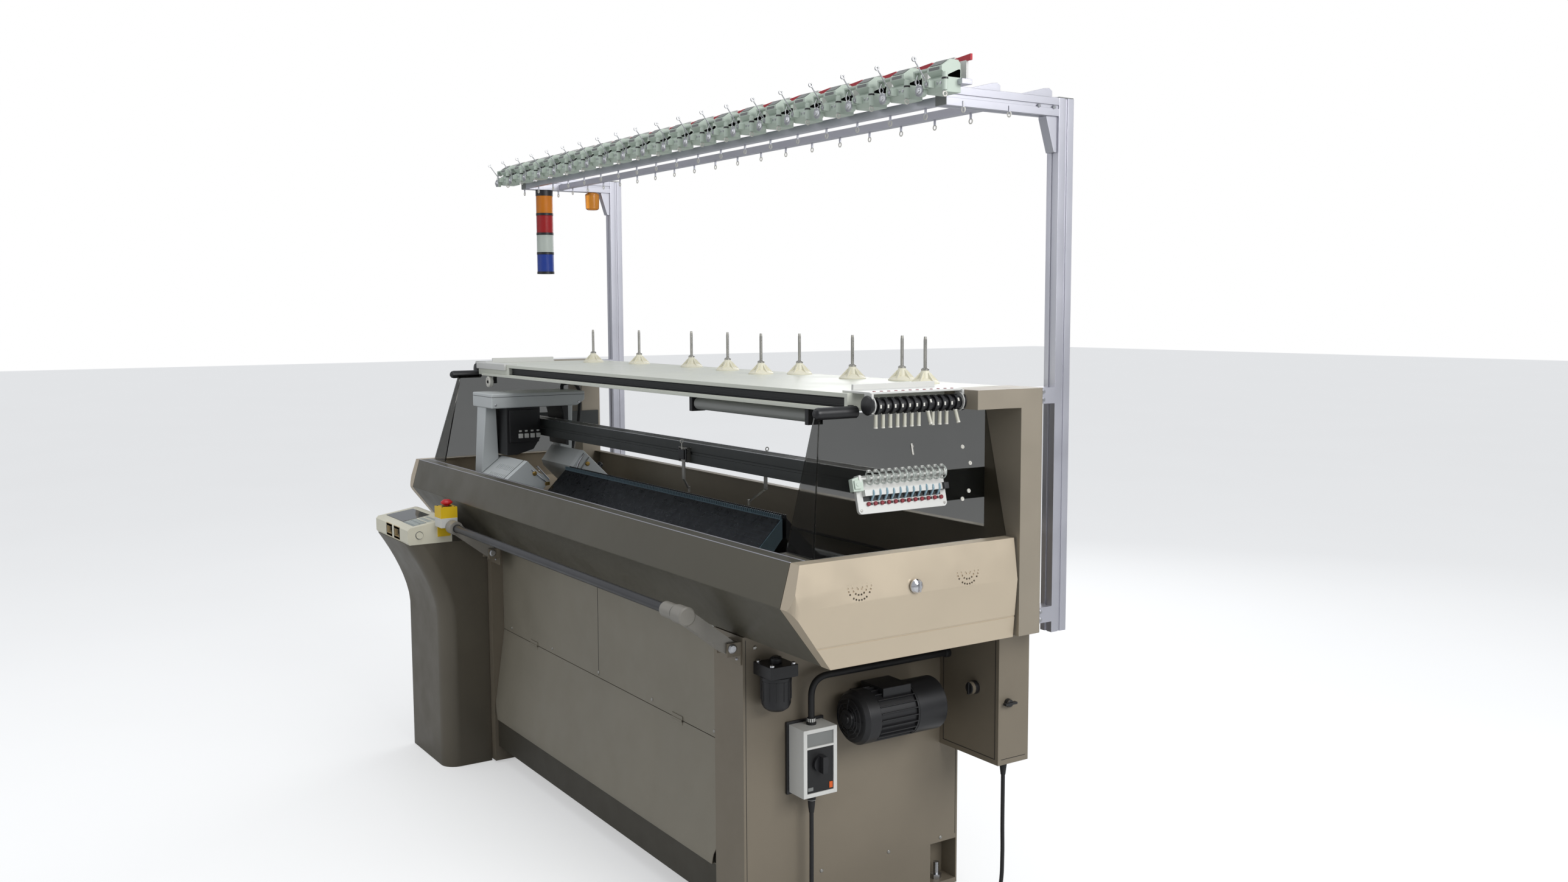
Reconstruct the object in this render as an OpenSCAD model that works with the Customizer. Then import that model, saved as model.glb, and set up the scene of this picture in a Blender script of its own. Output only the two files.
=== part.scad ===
// Flat knitting machine with two needle beds, a carriage, a yarn table and a yarn stand.
// X runs along the machine, the operator stands on the -Y side, Z is up, and the floor is Z = 0.

/* [Covers] */
// Length over the two end covers
cover_len = 2620; // [2500:10:2800]
// Height of the top rim of the covers above the floor
rim_z = 1050; // [1030:5:1070]
// Height of the bend, where the cover face is widest
bend_z = 950; // [930:5:970]
// Height of the lower edge of the covers
cover_z = 805; // [790:1:810]
// Distance of the front bend in front of the origin
cover_front = 350; // [330:5:360]
// How far the rim stands back from the bend at the front
rim_setback = 28; // [15:1:40]
// How far the rim and the lower edge stand back from the bend at the ends
end_setback = 14; // [6:1:20]
// Width of the flat strip on top of the rim
rim_strip = 40; // [25:1:45]
// Length of the part of an end cover that wraps round the front corner
end_wrap = 50; // [40:1:70]
// Radius of the vertical corners of the covers
corner_r = 26; // [10:1:40]
// Sheet thickness of the covers
skin = 3; // [2:0.5:4]
// Seam between two covers
seam = 2; // [1:0.5:4]
// Diameter of the ring of holes in a vent
vent_d = 70; // [50:1:80]
// Diameter of one vent hole
vent_hole_d = 5; // [3:0.5:6]

/* [Base] */
// Length of the base over its two pedestals
base_len = 1830; // [1760:10:1900]
// Depth of the base
base_depth = 695; // [660:5:720]
// Distance of the rear of the base behind the origin
base_rear = 460; // [440:5:470]
// Width of one pedestal along the machine
pedestal_w = 140; // [110:5:160]
// Height of the pedestals, feet included
base_h = 800; // [780:1:804]
// Diameter of a foot pad
foot_d = 60; // [40:1:80]
// Diameter of the screw of a foot
foot_screw_d = 16; // [12:1:20]
// Height of a foot pad
foot_h = 8; // [6:1:12]
// Thickness of the front panels
panel_t = 3; // [2:0.5:5]
// Height of the seam between the two front panels
panel_seam_z = 482; // [440:1:520]

/* [Bed frame and beds] */
// Height of the beams that carry the needle beds
beam_h = 50; // [40:1:55]
// Length of the needle beds
bed_len = 1400; // [1300:10:1440]
// Height of the top edge of the needle beds
bed_top = 1045; // [1040:1:1050]
// Length of the needle bed along its 45 degree slope, measured on Y
bed_run = 140; // [120:1:145]
// Gap between the two needle beds
bed_gap = 12; // [8:1:14]
// Pitch of the teeth of the combs
tooth_pitch = 10; // [8:1:20]
// Height of the comb teeth
tooth_h = 12; // [8:1:14]
// How far the rear bed can rack to each side
rack_travel = 50; // [25:1:60]

/* [Carriage] */
// Diameter of the two carriage rails
rail_d = 30; // [24:1:36]
// Height of the axis of the carriage rails
rail_z = 900; // [895:1:905]
// Distance of the front rail in front of the origin
rail_front = 200; // [190:1:205]
// Distance of the rear rail behind the origin
rail_rear = 260; // [255:1:265]
// Length of the cam boxes along the rails
cam_len = 280; // [240:5:300]
// Distance of the parked carriage's middle left of the origin
park_x = 860; // [840:5:880]
// Height of the underside of the carriage's top arm
arm_z = 1258; // [1240:1:1270]
// Height of the top arm
arm_h = 60; // [40:1:70]
// Radial clearance of a running fit
fit = 0.05; // [0.02:0.01:0.1]

/* [Table and stand] */
// Height of the table top
table_z = 1410; // [1400:1:1430]
// Thickness of the table
table_t = 42; // [36:1:50]
// Distance of the table's front edge in front of the origin
table_front = 110; // [90:5:130]
// Distance of the end frames' rear faces behind the origin
frame_rear = 387; // [380:1:395]
// Depth of the column of an end frame
column_d = 76; // [60:1:90]
// Height of the top of the yarn stand
stand_z = 2114; // [1900:1:2300]
// Width of the stand posts along the machine
post_w = 40; // [30:1:50]
// Depth of the stand posts
post_d = 50; // [40:1:60]
// Distance between the middles of the two posts
post_span = 2484; // [2440:2:2540]
// Distance of the rear of the posts behind the origin
post_rear = 518; // [500:1:530]
// Height of the stand arms and rails
rail_h = 45; // [30:1:50]
// Distance of the arm's front end behind the origin
arm_front = 112; // [100:1:140]
// Length of the row of tension units
row_len = 2700; // [2400:10:2800]
// Number of tension units
unit_count = 20; // [12:1:22]

/* [Windows] */
// Length of the window's front pane along the machine, at its foot
pane_wrap = 110; // [80:1:130]
// Thickness of the window panes
pane_t = 4; // [3:0.5:6]
// How far the side pane leans inward from foot to top
pane_lean = 80; // [40:1:100]
// How far the front pane leans back from foot to top
pane_rake = 72; // [40:1:90]

/* [Yarn guides] */
// Number of guide tubes at the end of the table
guide_count = 12; // [6:1:14]
// Pitch of the guide tubes
guide_pitch = 21; // [19:0.5:22]
// Diameter of the guide bar
guide_bar_d = 29; // [20:1:32]
// Pitch of the small tension levers on the window
lever_pitch = 19.5; // [17:0.5:20]

/* [Controls] */
// Width of the control column
column_w = 350; // [300:5:380]
// Depth of the control panel
panel_d = 155; // [140:1:180]
// Diameter of the operating bar
bar_d = 25; // [20:1:30]
// Height of the operating bar
bar_z = 870; // [860:1:880]
// Diameter of the emergency stop's mushroom head
stop_d = 40; // [30:1:44]
// Travel of the emergency stop
stop_travel = 4; // [2:0.5:6]
// Diameter of the motor
motor_d = 136; // [110:1:140]

/* [Hidden] */
$fn = 48;

end_x = cover_len / 2;
seam_x = end_x - end_wrap;
frame_t = 130;
frame_x = end_x - frame_t;
column_front = frame_rear - column_d;
end_cover_rear = column_front - 6;
flange_y = -205;
base_x = base_len / 2;
base_front = base_rear - base_depth;
inner_x = base_x - pedestal_w;
beam_top = base_h + beam_h;
bed_y = 30;
opening = [-55, 115];

bronze = "#5f5b51";
gold = "#b9ac9b";
taupe = "#8f8678";
cream = "#e1e4d7";
mint = "#bec8bc";
alu = "#c9c9ce";
smoke = [0.25, 0.28, 0.28, 0.5];
black = "#202022";
ivory = "#d7d4be";

// A box given by its lowest and highest place on each axis
module span(x, y, z) {
    translate([x[0], y[0], z[0]]) cube([x[1] - x[0], y[1] - y[0], z[1] - z[0]]);
}

// A drawing in Y and Z, extruded along X about x = 0
module along_x(len) {
    rotate([90, 0, 90]) linear_extrude(len, center = true) children();
}

// A drawing in X and Z, extruded along Y about y = 0
module along_y(len) {
    rotate([90, 0, 0]) linear_extrude(len, center = true) children();
}

// A round bar along X, from x[0] to x[1]
module rod_x(x, y, z, d) {
    translate([x[0], y, z]) rotate([0, 90, 0]) cylinder(h = x[1] - x[0], d = d);
}

// A round bar along Y, from y[0] to y[1]
module rod_y(x, y, z, d) {
    translate([x, y[0], z]) rotate([-90, 0, 0]) cylinder(h = y[1] - y[0], d = d);
}

module both_ends() {
    children();
    mirror([1, 0, 0]) children();
}

lip_y = base_front - 5;
rim_y = -cover_front + rim_setback;

// The closed body of the covers, drawn in by the inset on every outer face
module cover_body(inset) {
    slope = inset * 1.26;
    intersection() {
        along_x(cover_len + 10) polygon([
            [frame_rear, cover_z + inset], [lip_y + slope, cover_z + inset],
            [-cover_front + slope, bend_z], [rim_y + slope, rim_z - inset], [frame_rear, rim_z - inset]]);
        along_y(4 * cover_front) polygon([
            for (s = [1, -1]) for (k = [0, 1, 2]) let (i = s > 0 ? k : 2 - k)
                [s * (end_x - inset - (i == 1 ? 0 : end_setback)), i == 0 ? cover_z : i == 1 ? bend_z : rim_z]]);
        translate([0, 0, cover_z - 1]) linear_extrude(rim_z - cover_z + 2) cover_plan(inset);
    }
}

// The outline of the covers seen from above, with round front corners
module cover_plan(inset) {
    r = corner_r - inset;
    x = end_x - inset;
    y = -cover_front + inset;
    steps = 8;
    polygon(concat([[x, frame_rear]],
        [for (k = [0:steps]) [x - r + r * cos(k * 90 / steps), y + r - r * sin(k * 90 / steps)]],
        [for (k = [steps:-1:0]) [-x + r - r * cos(k * 90 / steps), y + r - r * sin(k * 90 / steps)]],
        [[-x, frame_rear]]));
}

module cover_shell() {
    difference() {
        cover_body(0);
        cover_body(skin);
        span([-end_x + 60, end_x - 60], [rim_y + rim_strip, frame_rear + 1], [rim_z - 2 * skin, rim_z + 1]);
    }
}

// One vent: rings of holes with a clear cross on the diagonals
module vent_holes() {
    for (ring = [1:3]) for (quarter = [0:3]) for (k = [-ring + 0.5:1:ring - 0.5])
        rotate([quarter * 90 + k * 67 / (2 * ring - 1), 0, 0])
            translate([end_x - 2 * skin, 0, vent_d / 2 * ring / 3 - vent_hole_d / 2])
                rotate([0, 90, 0]) cylinder(h = 4 * skin, d = vent_hole_d, $fn = 16);
}

vent_y = [-167, 150];
vent_z = 989;
knob_y = -10;
knob_z = 971;
knob_shaft_d = 12;
groove_z = 856;

module end_cover() {
    groove_x = end_x - end_setback * (bend_z - groove_z) / (bend_z - cover_z) - skin / 2;
    difference() {
        union() {
            intersection() {
                cover_shell();
                span([seam_x + seam / 2, end_x + 1], [-cover_front - 1, end_cover_rear], [cover_z - 1, rim_z + 1]);
            }
            span([frame_x, seam_x + 2 * seam], [flange_y + 1, end_cover_rear], [cover_z, cover_z + skin]);
        }
        for (y = vent_y) translate([0, y, vent_z]) vent_holes();
        rod_x([end_x - 20, end_x + 5], knob_y, knob_z, knob_shaft_d + 2 * fit);
        span([groove_x, end_x + 1], [-cover_front + 30, end_cover_rear + 1], [groove_z, groove_z + 4]);
    }
}

module right_end_cover() { color(gold) end_cover(); }
module left_end_cover() { color(gold) mirror([1, 0, 0]) end_cover(); }

// The front cover is one folded sheet, with a short sill under the foot of each front pane
module front_cover() {
    slope = skin * 1.26;
    lip = 20;
    rim_end = rim_y + rim_strip;
    color(bronze) union() {
        along_x(2 * seam_x - seam) polygon([
            [flange_y, cover_z], [lip_y, cover_z], [-cover_front, bend_z], [rim_y, rim_z], [rim_end, rim_z],
            [rim_end, rim_z - lip], [rim_end - skin, rim_z - lip], [rim_end - skin, rim_z - skin],
            [rim_y + slope, rim_z - skin], [-cover_front + slope, bend_z], [lip_y + slope, cover_z + skin],
            [flange_y, cover_z + skin]]);
        both_ends() span([window_x - pane_wrap - 4, seam_x - seam / 2], [rim_end - 1, window_y + 8],
            [rim_z - skin, rim_z]);
    }
}

module rear_cover() {
    color(taupe) union() {
        span([-frame_x, frame_x], [frame_rear - skin, frame_rear], [cover_z, rim_z]);
        span([-frame_x, frame_x], [frame_rear - 25, frame_rear - skin], [rim_z - skin, rim_z]);
        span([-frame_x, frame_x], [frame_rear - 7, frame_rear - skin], [cover_z, cover_z + skin]);
    }
}

// Lock knob of the right end cover, with its shaft through the sheet
module lock_knob() {
    color("silver") union() {
        translate([end_x + 0.3, knob_y, knob_z]) rotate([0, 90, 0]) rotate_extrude($fn = 64)
            polygon([[0, 0], [17, 0], [17, 4], [14, 9], [8, 13], [0, 14]]);
        rod_x([end_x - 18, end_x + 1], knob_y, knob_z, knob_shaft_d);
        span([end_x + 10, end_x + 17], [knob_y - 2.5, knob_y + 2.5], [knob_z - 12, knob_z + 12]);
    }
}

foot_y = [base_front + 95, base_rear - 50];
pocket = [90, 60, 115];

module foot_places() {
    for (y = foot_y) translate([base_x - pocket[1] / 2, y, 0]) children();
}

module pedestal() {
    difference() {
        span([inner_x, base_x], [base_front, base_rear], [foot_h, base_h]);
        foot_places() {
            translate([-pocket[1] / 2, -pocket[0] / 2, foot_h + 14]) cube([pocket[1] + 1, pocket[0], pocket[2]]);
            cylinder(h = 60, d = foot_screw_d + 2 * fit);
        }
        for (y = roller_y) rod_x([inner_x - 1, inner_x + roller_seat], y, roller_z, roller_shaft_d + 2 * fit);
    }
}

module right_pedestal() { color(taupe) pedestal(); }
module left_pedestal() { color(taupe) mirror([1, 0, 0]) pedestal(); }

module levelling_feet() {
    color("dimgray") both_ends() foot_places() union() {
        cylinder(h = foot_h, d = foot_d);
        cylinder(h = foot_h + 60, d = foot_screw_d);
        translate([0, 0, foot_h + 14.3]) cylinder(h = 12, d = foot_screw_d * 2, $fn = 6);
    }
}

// Beams that carry the beds, with the blocks of the carriage rails and the pins of the belt pulleys
module bed_frame() {
    color(taupe) union() {
        difference() {
            union() {
                span([-frame_x, frame_x], [flange_y, frame_rear - 7], [base_h, beam_top]);
                both_ends() for (y = [-rail_front, rail_rear])
                    span([frame_x - 30, frame_x], [y - 35, y + 35], [beam_top - 0.5, rail_z + 35]);
            }
            span([-inner_x - 40, inner_x + 40], opening, [base_h - 1, beam_top + 1]);
            for (y = [-rail_front, rail_rear])
                rod_x([-frame_x - 1, frame_x + 1], y, rail_z, rail_d + 2 * fit);
        }
        both_ends() {
            span([pulley_x - 25, pulley_x + 25], [pulley_y + 16, pulley_y + 22], [beam_top - 0.5, rail_z + 25]);
            rod_y(pulley_x, [pulley_y - 11, pulley_y + 17], rail_z, pulley_bore - 2 * fit);
        }
    }
}

panel_y = -190;
panel_foot_y = base_front;
panel_foot_z = 165;
panel_half = inner_x;

module front_upper_panel() {
    color("#8a8273") union() {
        span([-panel_half, panel_half], [panel_y - panel_t, panel_y], [panel_seam_z + 2, base_h]);
        span([-panel_half, panel_half], [panel_y, panel_y + 18], [base_h - panel_t, base_h]);
    }
}

// The lower panel slopes out to its foot, with a short lip and cheeks like a bin
module front_lower_panel() {
    color("#8d887b") difference() {
        union() {
            along_x(2 * panel_half) polygon([
                [panel_y, panel_seam_z], [panel_y - panel_t, panel_seam_z],
                [panel_foot_y, panel_foot_z + 28], [panel_foot_y, panel_foot_z],
                [panel_foot_y + panel_t, panel_foot_z], [panel_foot_y + panel_t, panel_foot_z + 28]]);
            both_ends() translate([panel_half - panel_t / 2, 0, 0]) along_x(panel_t) polygon([
                [panel_y, panel_seam_z], [panel_foot_y, panel_foot_z + 28], [panel_foot_y, panel_foot_z],
                [panel_y + 60, panel_foot_z], [panel_y + 60, panel_seam_z]]);
            span([-panel_half, panel_half], [panel_foot_y + panel_t, panel_y + 60],
                [panel_foot_z, panel_foot_z + panel_t]);
        }
        both_ends() translate([panel_half + 1, panel_foot_y - 1, panel_foot_z - 1])
            along_y(20) polygon([[0, 0], [-25, 0], [-16, 30], [0, 60]]);
    }
}

module bottom_rail() {
    color(bronze) span([-inner_x, inner_x], [base_front + 12, base_front + 60], [60, panel_foot_z]);
}

module rear_panels() {
    color(taupe) union() {
        span([-inner_x, inner_x], [base_rear - 40, base_rear - 40 + panel_t], [90, base_h]);
        span([-inner_x, inner_x], [base_rear - 55, base_rear - 40], [base_h - panel_t, base_h]);
        span([-inner_x, inner_x], [base_rear - 60, base_rear - 40], [90, 90 + panel_t]);
        both_ends() support_box();
    }
}

// Rear boxes under the overhang, beside the pedestals
box_len = 235;
box_y = [395, 500];
box_z = [420, 792];

module support_box() {
    union() {
        span([base_x, base_x + box_len], box_y, box_z);
        span([base_x + 60, base_x + box_len], [frame_rear - 47, box_y[1] - 30], [base_h - 12, base_h]);
        rod_y(base_x + box_len - 90, [box_y[0] - 22, box_y[0]], 610, 34);
        rod_x([base_x + box_len, base_x + box_len + 12], box_y[0] + 30, 585, 20);
    }
}

// End frame: a column behind the end cover and a beam forward under the end of the table
guide_mid = 42;
cheek_t = 6;
guide_half = (guide_count - 1) / 2 * guide_pitch + 16;
beam_front = guide_mid + guide_half + cheek_t + 0.5;
frame_beam_h = 46;

module end_frame() {
    difference() {
        union() {
            span([frame_x, end_x], [column_front, frame_rear], [cover_z + 3, table_z + 2]);
            span([frame_x, end_x - 8], [beam_front, column_front + 1], [table_z + 2 - frame_beam_h, table_z + 2]);
            translate([end_x - 8 - 12, column_front, table_z + 2 - frame_beam_h])
                linear_extrude(frame_beam_h) polygon([[0, -40], [12, -40], [20, 0], [0, 0]]);
        }
        span([frame_x + 12, end_x - 12], [column_front + 12, frame_rear + 1], [cover_z + 60, table_z - 60]);
        translate([end_x, frame_rear, 0]) rotate([0, 0, 180]) linear_extrude(3 * table_z)
            difference() {
                translate([-1, -1]) square([13, 13]);
                translate([12, 12]) circle(12);
            }
    }
}

module right_end_frame() { color(taupe) end_frame(); }
module left_end_frame() { color(taupe) mirror([1, 0, 0]) end_frame(); }

// Folded table with a groove along its front edge and shallow flanges below
table_rear = frame_rear - 2;
groove_h = 24;
slot_x = [-880, frame_x - 12];

module table() {
    color(cream) difference() {
        union() {
            span([-frame_x, frame_x], [-table_front, table_rear], [table_z - table_t, table_z]);
            span([-frame_x + 60, frame_x], [-table_front - 10, -table_front + 1],
                [table_z - table_t - 2, table_z - table_t + 6]);
        }
        span(slot_x, [-table_front - 1, -table_front + 14],
            [table_z - table_t + 8, table_z - table_t + 8 + groove_h]);
        span([-frame_x + 20, frame_x - 20], [-table_front + 30, table_rear - 20],
            [table_z - table_t - 3, table_z - 8]);
    }
}

window_z = rim_z;
window_top = table_z - table_t - 4;
window_x = end_x - 50;
window_y = -cover_front + rim_setback + rim_strip + 20;
window_rear = column_front - 0.3;
window_rise = window_top - window_z;
lean = atan(pane_lean / window_rise);
rake = atan(pane_rake / window_rise);
side_len = window_rise / cos(lean);
front_len = window_rise / cos(rake);

// Puts its children on the side pane: local Z runs up the pane and local X out of it
module on_window() {
    translate([window_x, 0, window_z]) rotate([0, -lean, 0]) children();
}

module window() {
    difference() {
        window_panes();
        span([frame_x - 60, end_x], [-cover_front, frame_rear], [window_z - 20, window_z]);
    }
}

module window_panes() {
    union() {
        on_window() along_x(pane_t) polygon([
            [window_y, 0], [window_rear, 0], [window_rear, side_len], [window_y + pane_rake, side_len]]);
        translate([0, window_y, window_z]) rotate([-rake, 0, 0]) translate([0, pane_t / 2, 0])
            along_y(pane_t) polygon([
                [window_x - pane_wrap, 0], [window_x - pane_t / 2, 0],
                [window_x - pane_lean - pane_t / 2, front_len], [window_x - pane_wrap + 12, front_len]]);
        translate([window_x, window_y + pane_t / 2, window_z + pane_t])
            rotate([-rake, 0, 0]) rotate([0, -atan(pane_lean / front_len), 0])
                cylinder(h = side_len - 2 * pane_t, d = pane_t, $fn = 24);
    }
}

module windows() { color(smoke) both_ends() window(); }

// Dark tube along the top edge of each side pane, held by the beam of the end frame
trim_d = 24;
trim_x = window_x - pane_lean + pane_t + trim_d / 2 + 1;

module window_trims() {
    color(black) both_ends() union() {
        rod_y(trim_x, [window_y + pane_rake - 8, beam_front], window_top + 9, trim_d);
        translate([trim_x, window_y + pane_rake - 8, window_top + 9]) sphere(d = trim_d);
    }
}

post_x = post_span / 2;
post_foot = cover_z - 18;

bracket_z = [cover_z + 10, table_z - 42];

// Posts, each with two flat brackets that hold it to the end frame
module stand_posts() {
    color(alu) both_ends() union() {
        translate([post_x, post_rear - post_d / 2, post_foot]) profile(post_w, post_d, stand_z - post_foot);
        for (z = bracket_z)
            span([post_x - post_w / 2, post_x + post_w / 2], [frame_rear, post_rear - post_d], [z, z + 40]);
    }
}

// Aluminium profile with a groove down the middle of each side
module profile(w, d, h) {
    linear_extrude(h) difference() {
        square([w, d], center = true);
        for (s = [1, -1]) {
            translate([s * w / 2, 0]) square([6, 8], center = true);
            translate([0, s * d / 2]) square([8, 6], center = true);
        }
    }
}

arm_len = post_rear - post_d - arm_front;

module stand_arms() {
    color(alu) both_ends() translate([post_x, post_rear - post_d, stand_z - rail_h / 2])
        rotate([90, 0, 0]) profile(post_w, rail_h, arm_len);
}

front_rail_y = arm_front + 15;
rear_rail_y = arm_front + 150;
unit_rail_d = 30;

module stand_rails() {
    rail_half = post_x - post_w / 2;
    color(alu) union() {
        for (y = [front_rail_y, rear_rail_y])
            span([-rail_half, rail_half], [y - 15, y + 15], [stand_z - rail_h + 3, stand_z - 4]);
        span([-row_len / 2, row_len / 2], [arm_front - unit_rail_d, arm_front],
            [stand_z - unit_rail_d, stand_z]);
    }
}

// One tension unit on the stand: body, head, yarn clamp and disc tensioner
unit_pitch = row_len / unit_count;
unit_w = unit_pitch * 0.72;
unit_front = arm_front - unit_rail_d;
lever_y = unit_front - 54;
lever_z = stand_z - 12;
lever_pin_d = 4;

module tension_unit() {
    translate([0, unit_front, stand_z]) union() {
        span([-unit_w / 2, unit_w / 2], [-46, 0], [-40, 0]);
        span([-unit_w / 2 + 14, unit_w / 2 - 26], [-34, 24], [0, 34]);
        span([-unit_w / 2 - 8, -unit_w / 2 + 22], [-58, -20], [-24, 8]);
        span([unit_w / 2 - 26, unit_w / 2 - 6], [-62, -12], [-52, -4]);
        rod_y(unit_w / 2 - 16, [-72, -60], -28, 22);
        rod_y(0, [-62, -44], -26, 14);
        translate([-10, -42, -1]) cylinder(h = 21, d = 24);
        for (x = [3, 20]) span([x, x + 5], [lever_y - unit_front - 6, -45], [-18, -6]);
        rod_x([4, 23], lever_y - unit_front, lever_z - stand_z, lever_pin_d - 2 * fit);
    }
}

module tension_units() {
    color(mint) for (i = [0:unit_count - 1])
        translate([(i - (unit_count - 1) / 2) * unit_pitch, 0, 0]) tension_unit();
}

// Wire levers that feel the yarn above each unit, on one line of pivots

module tension_levers() {
    color("silver") for (i = [0:unit_count - 1])
        translate([(i - (unit_count - 1) / 2) * unit_pitch + 14, lever_y, lever_z]) difference() {
            union() {
                rod_x([-4, 4], 0, 0, 12);
                translate([0, -3.5 * sin(38), 3.5 * cos(38)]) rotate([38, 0, 0]) cylinder(h = 60, d = 3, $fn = 16);
                translate([0, -66 * sin(38), 66 * cos(38)]) rod_x([-2, 2], 0, 0, 11);
            }
            rod_x([-5, 5], 0, 0, lever_pin_d);
            translate([0, -66 * sin(38), 66 * cos(38)]) rod_x([-3, 3], 0, 0, 6);
        }
}

// Red strip behind the units on short white clips
strip_z = stand_z + 40;

module warning_strip() {
    color("#aa1e2d") union() {
        span([-row_len / 2, row_len / 2], [unit_front + 8 + 16, unit_front + 8 + 22], [strip_z, strip_z + 16]);
        for (i = [0:unit_count - 1]) translate([(i - (unit_count - 1) / 2) * unit_pitch, 0, 0])
            span([-9, 9], [unit_front + 24.5, unit_front + 29.5], [stand_z, strip_z + 1]);
    }
}

// Signal tower hanging under the left arm
tower_y = 196;
tower_d = 66;
tower_top = stand_z - rail_h;
cap_h = 22;
lens_h = 66;
ring_h = 9;
tower_pitch = lens_h + ring_h;

module tower_frame() {
    color(black) translate([-post_x, tower_y, 0]) union() {
        translate([0, 0, tower_top - cap_h]) cylinder(h = cap_h, d = tower_d);
        for (k = [1:4]) translate([0, 0, tower_top - cap_h - k * tower_pitch])
            cylinder(h = ring_h, d = tower_d);
        translate([0, 0, tower_top - cap_h - 4 * tower_pitch]) cylinder(h = 4 * tower_pitch, d = 12);
    }
}

module tower_lenses() {
    color("orange") translate([-post_x, tower_y, 0]) for (k = [1:4])
        translate([0, 0, tower_top - cap_h - k * tower_pitch + ring_h]) difference() {
            cylinder(h = lens_h, d = tower_d - 2);
            translate([0, 0, -1]) cylinder(h = lens_h + 2, d = tower_d - 10);
        }
}

// Amber cup under the left arm, next to the post
module amber_cup() {
    color("#c78a2c") translate([-post_x, 400, tower_top - 68]) rotate_extrude($fn = 64)
        polygon([[0, 4], [20, 0], [26, 5], [28, 60], [24, 64], [14, 68], [0, 68]]);
}

guide_x = window_x - 20;
guide_z = table_z - guide_bar_d / 2 - 13;

module guide_bars() {
    color(black) both_ends()
        rod_y(guide_x, [guide_mid - guide_half, guide_mid + guide_half], guide_z, guide_bar_d);
}

// White strip on the end of the table, with a cheek at each end of the guide bar
module guide_strips() {
    color("white") both_ends() union() {
        span([frame_x - 40, guide_x + 8],
            [guide_mid - guide_half - cheek_t, guide_mid + guide_half + cheek_t],
            [table_z, table_z + 5]);
        span([frame_x - 40, frame_x - 32], [guide_mid - guide_half + 20, beam_front - 4], [table_z + 4, table_z + 18]);
        for (s = [1, -1]) translate([0, guide_mid + s * (guide_half + cheek_t / 2), 0])
            span([guide_x - 14, guide_x + 14], [-cheek_t / 2, cheek_t / 2], [guide_z - 16, table_z + 3]);
    }
}

// Guide tubes on rings that swing on the guide bar, two of them left swung
swung = [7, 11];
tube_d = 9;
tube_len = 34;

module guide_tubes() {
    color(ivory) for (i = [0:guide_count - 1])
        translate([guide_x, guide_mid + (i - (guide_count - 1) / 2) * guide_pitch, guide_z])
            rotate([0, i == swung[0] || i == swung[1] ? -22 : 0, 0]) difference() {
                union() {
                    rotate([90, 0, 0]) cylinder(h = 8, d = guide_bar_d + 10, center = true);
                    translate([0, 0, -guide_bar_d / 2 - 3 - tube_len]) cylinder(h = tube_len, d = tube_d, $fn = 24);
                }
                rotate([90, 0, 0]) cylinder(h = 10, d = guide_bar_d + 2 * fit, center = true);
                translate([0, 0, -guide_bar_d / 2 - 4 - tube_len]) cylinder(h = 24, d = tube_d - 4, $fn = 24);
            }
}

// Small tension unit on the right window: white plate, housing, pivot bar and yarn knobs
plate_y = [-125, 135];
plate_h = [88, 176];
lever_mid = 20;
lever_axis = [21, 168];
lever_bar_d = 6;

module window_plate() {
    color("white") on_window() union() {
        translate([pane_t / 2 + 4, 0, 0]) along_x(8) round_box(plate_y, plate_h, 10);
        span([8, 22], [plate_y[0] + 16, plate_y[1] - 16], [plate_h[0] + 40, plate_h[0] + 54]);
        rod_y(lever_axis[0], [plate_y[0] + 2, plate_y[1] - 2], lever_axis[1], lever_bar_d);
        for (y = [plate_y[0] + 1, plate_y[1] - 7])
            span([8, lever_axis[0] + 6], [y, y + 6], [lever_axis[1] - 8, lever_axis[1] + 8]);
        for (i = [0:guide_count - 1])
            rod_x([8, 14], lever_mid + (i - (guide_count - 1) / 2) * lever_pitch - 9, plate_h[0] + 22, 9);
    }
}

module round_box(y, z, r) {
    hull() for (a = [y[0] + r, y[1] - r], b = [z[0] + r, z[1] - r]) translate([a, b]) circle(r);
}

// Curved take-up levers, side by side on the pivot bar of the window unit
module window_levers() {
    color("lightgray") on_window() for (i = [0:guide_count - 1])
        translate([lever_axis[0], lever_mid - 9 + (i - (guide_count - 1) / 2) * lever_pitch, lever_axis[1]])
            difference() {
                union() {
                    rotate([90, 0, 0]) cylinder(h = 8, d = lever_bar_d + 8, center = true);
                    rotate([90, 0, 0]) linear_extrude(4, center = true) arc_arm();
                }
                rotate([90, 0, 0]) cylinder(h = 10, d = lever_bar_d + 2 * fit, center = true);
            }
}

// Hook-shaped arm, drawn as a part of a ring
module arc_arm() {
    translate([14, 16]) difference() {
        circle(d = 44);
        circle(d = 36);
        translate([-30, -30]) square([30, 38]);
    }
    translate([-6, 0]) square([4, 26]);
}

comb_teeth = floor(bed_len / tooth_pitch);
bed_foot = 60;

// Needle bed on one side of the gap, on its own foot; the comb stands at its top edge
module needle_bed(clear) {
    slab = 36;
    run = bed_run;
    union() {
        along_x(bed_len) polygon([
            [0, bed_top], [-run, bed_top - run], [-run, beam_top + clear], [-run + bed_foot, beam_top + clear],
            [-run + bed_foot, bed_top - run - slab + bed_foot * 0.5], [0, bed_top - slab * 1.5]]);
        translate([0, 0, 0]) rotate([0, 0, 0]) translate([0, -2, bed_top - 3]) comb();
        for (k = [1:6]) translate([0, -k * 9 - 10, bed_top - k * 9 - 10])
            rotate([45, 0, 0]) cube([bed_len - 8, 2, 3], center = true);
    }
}

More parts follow.
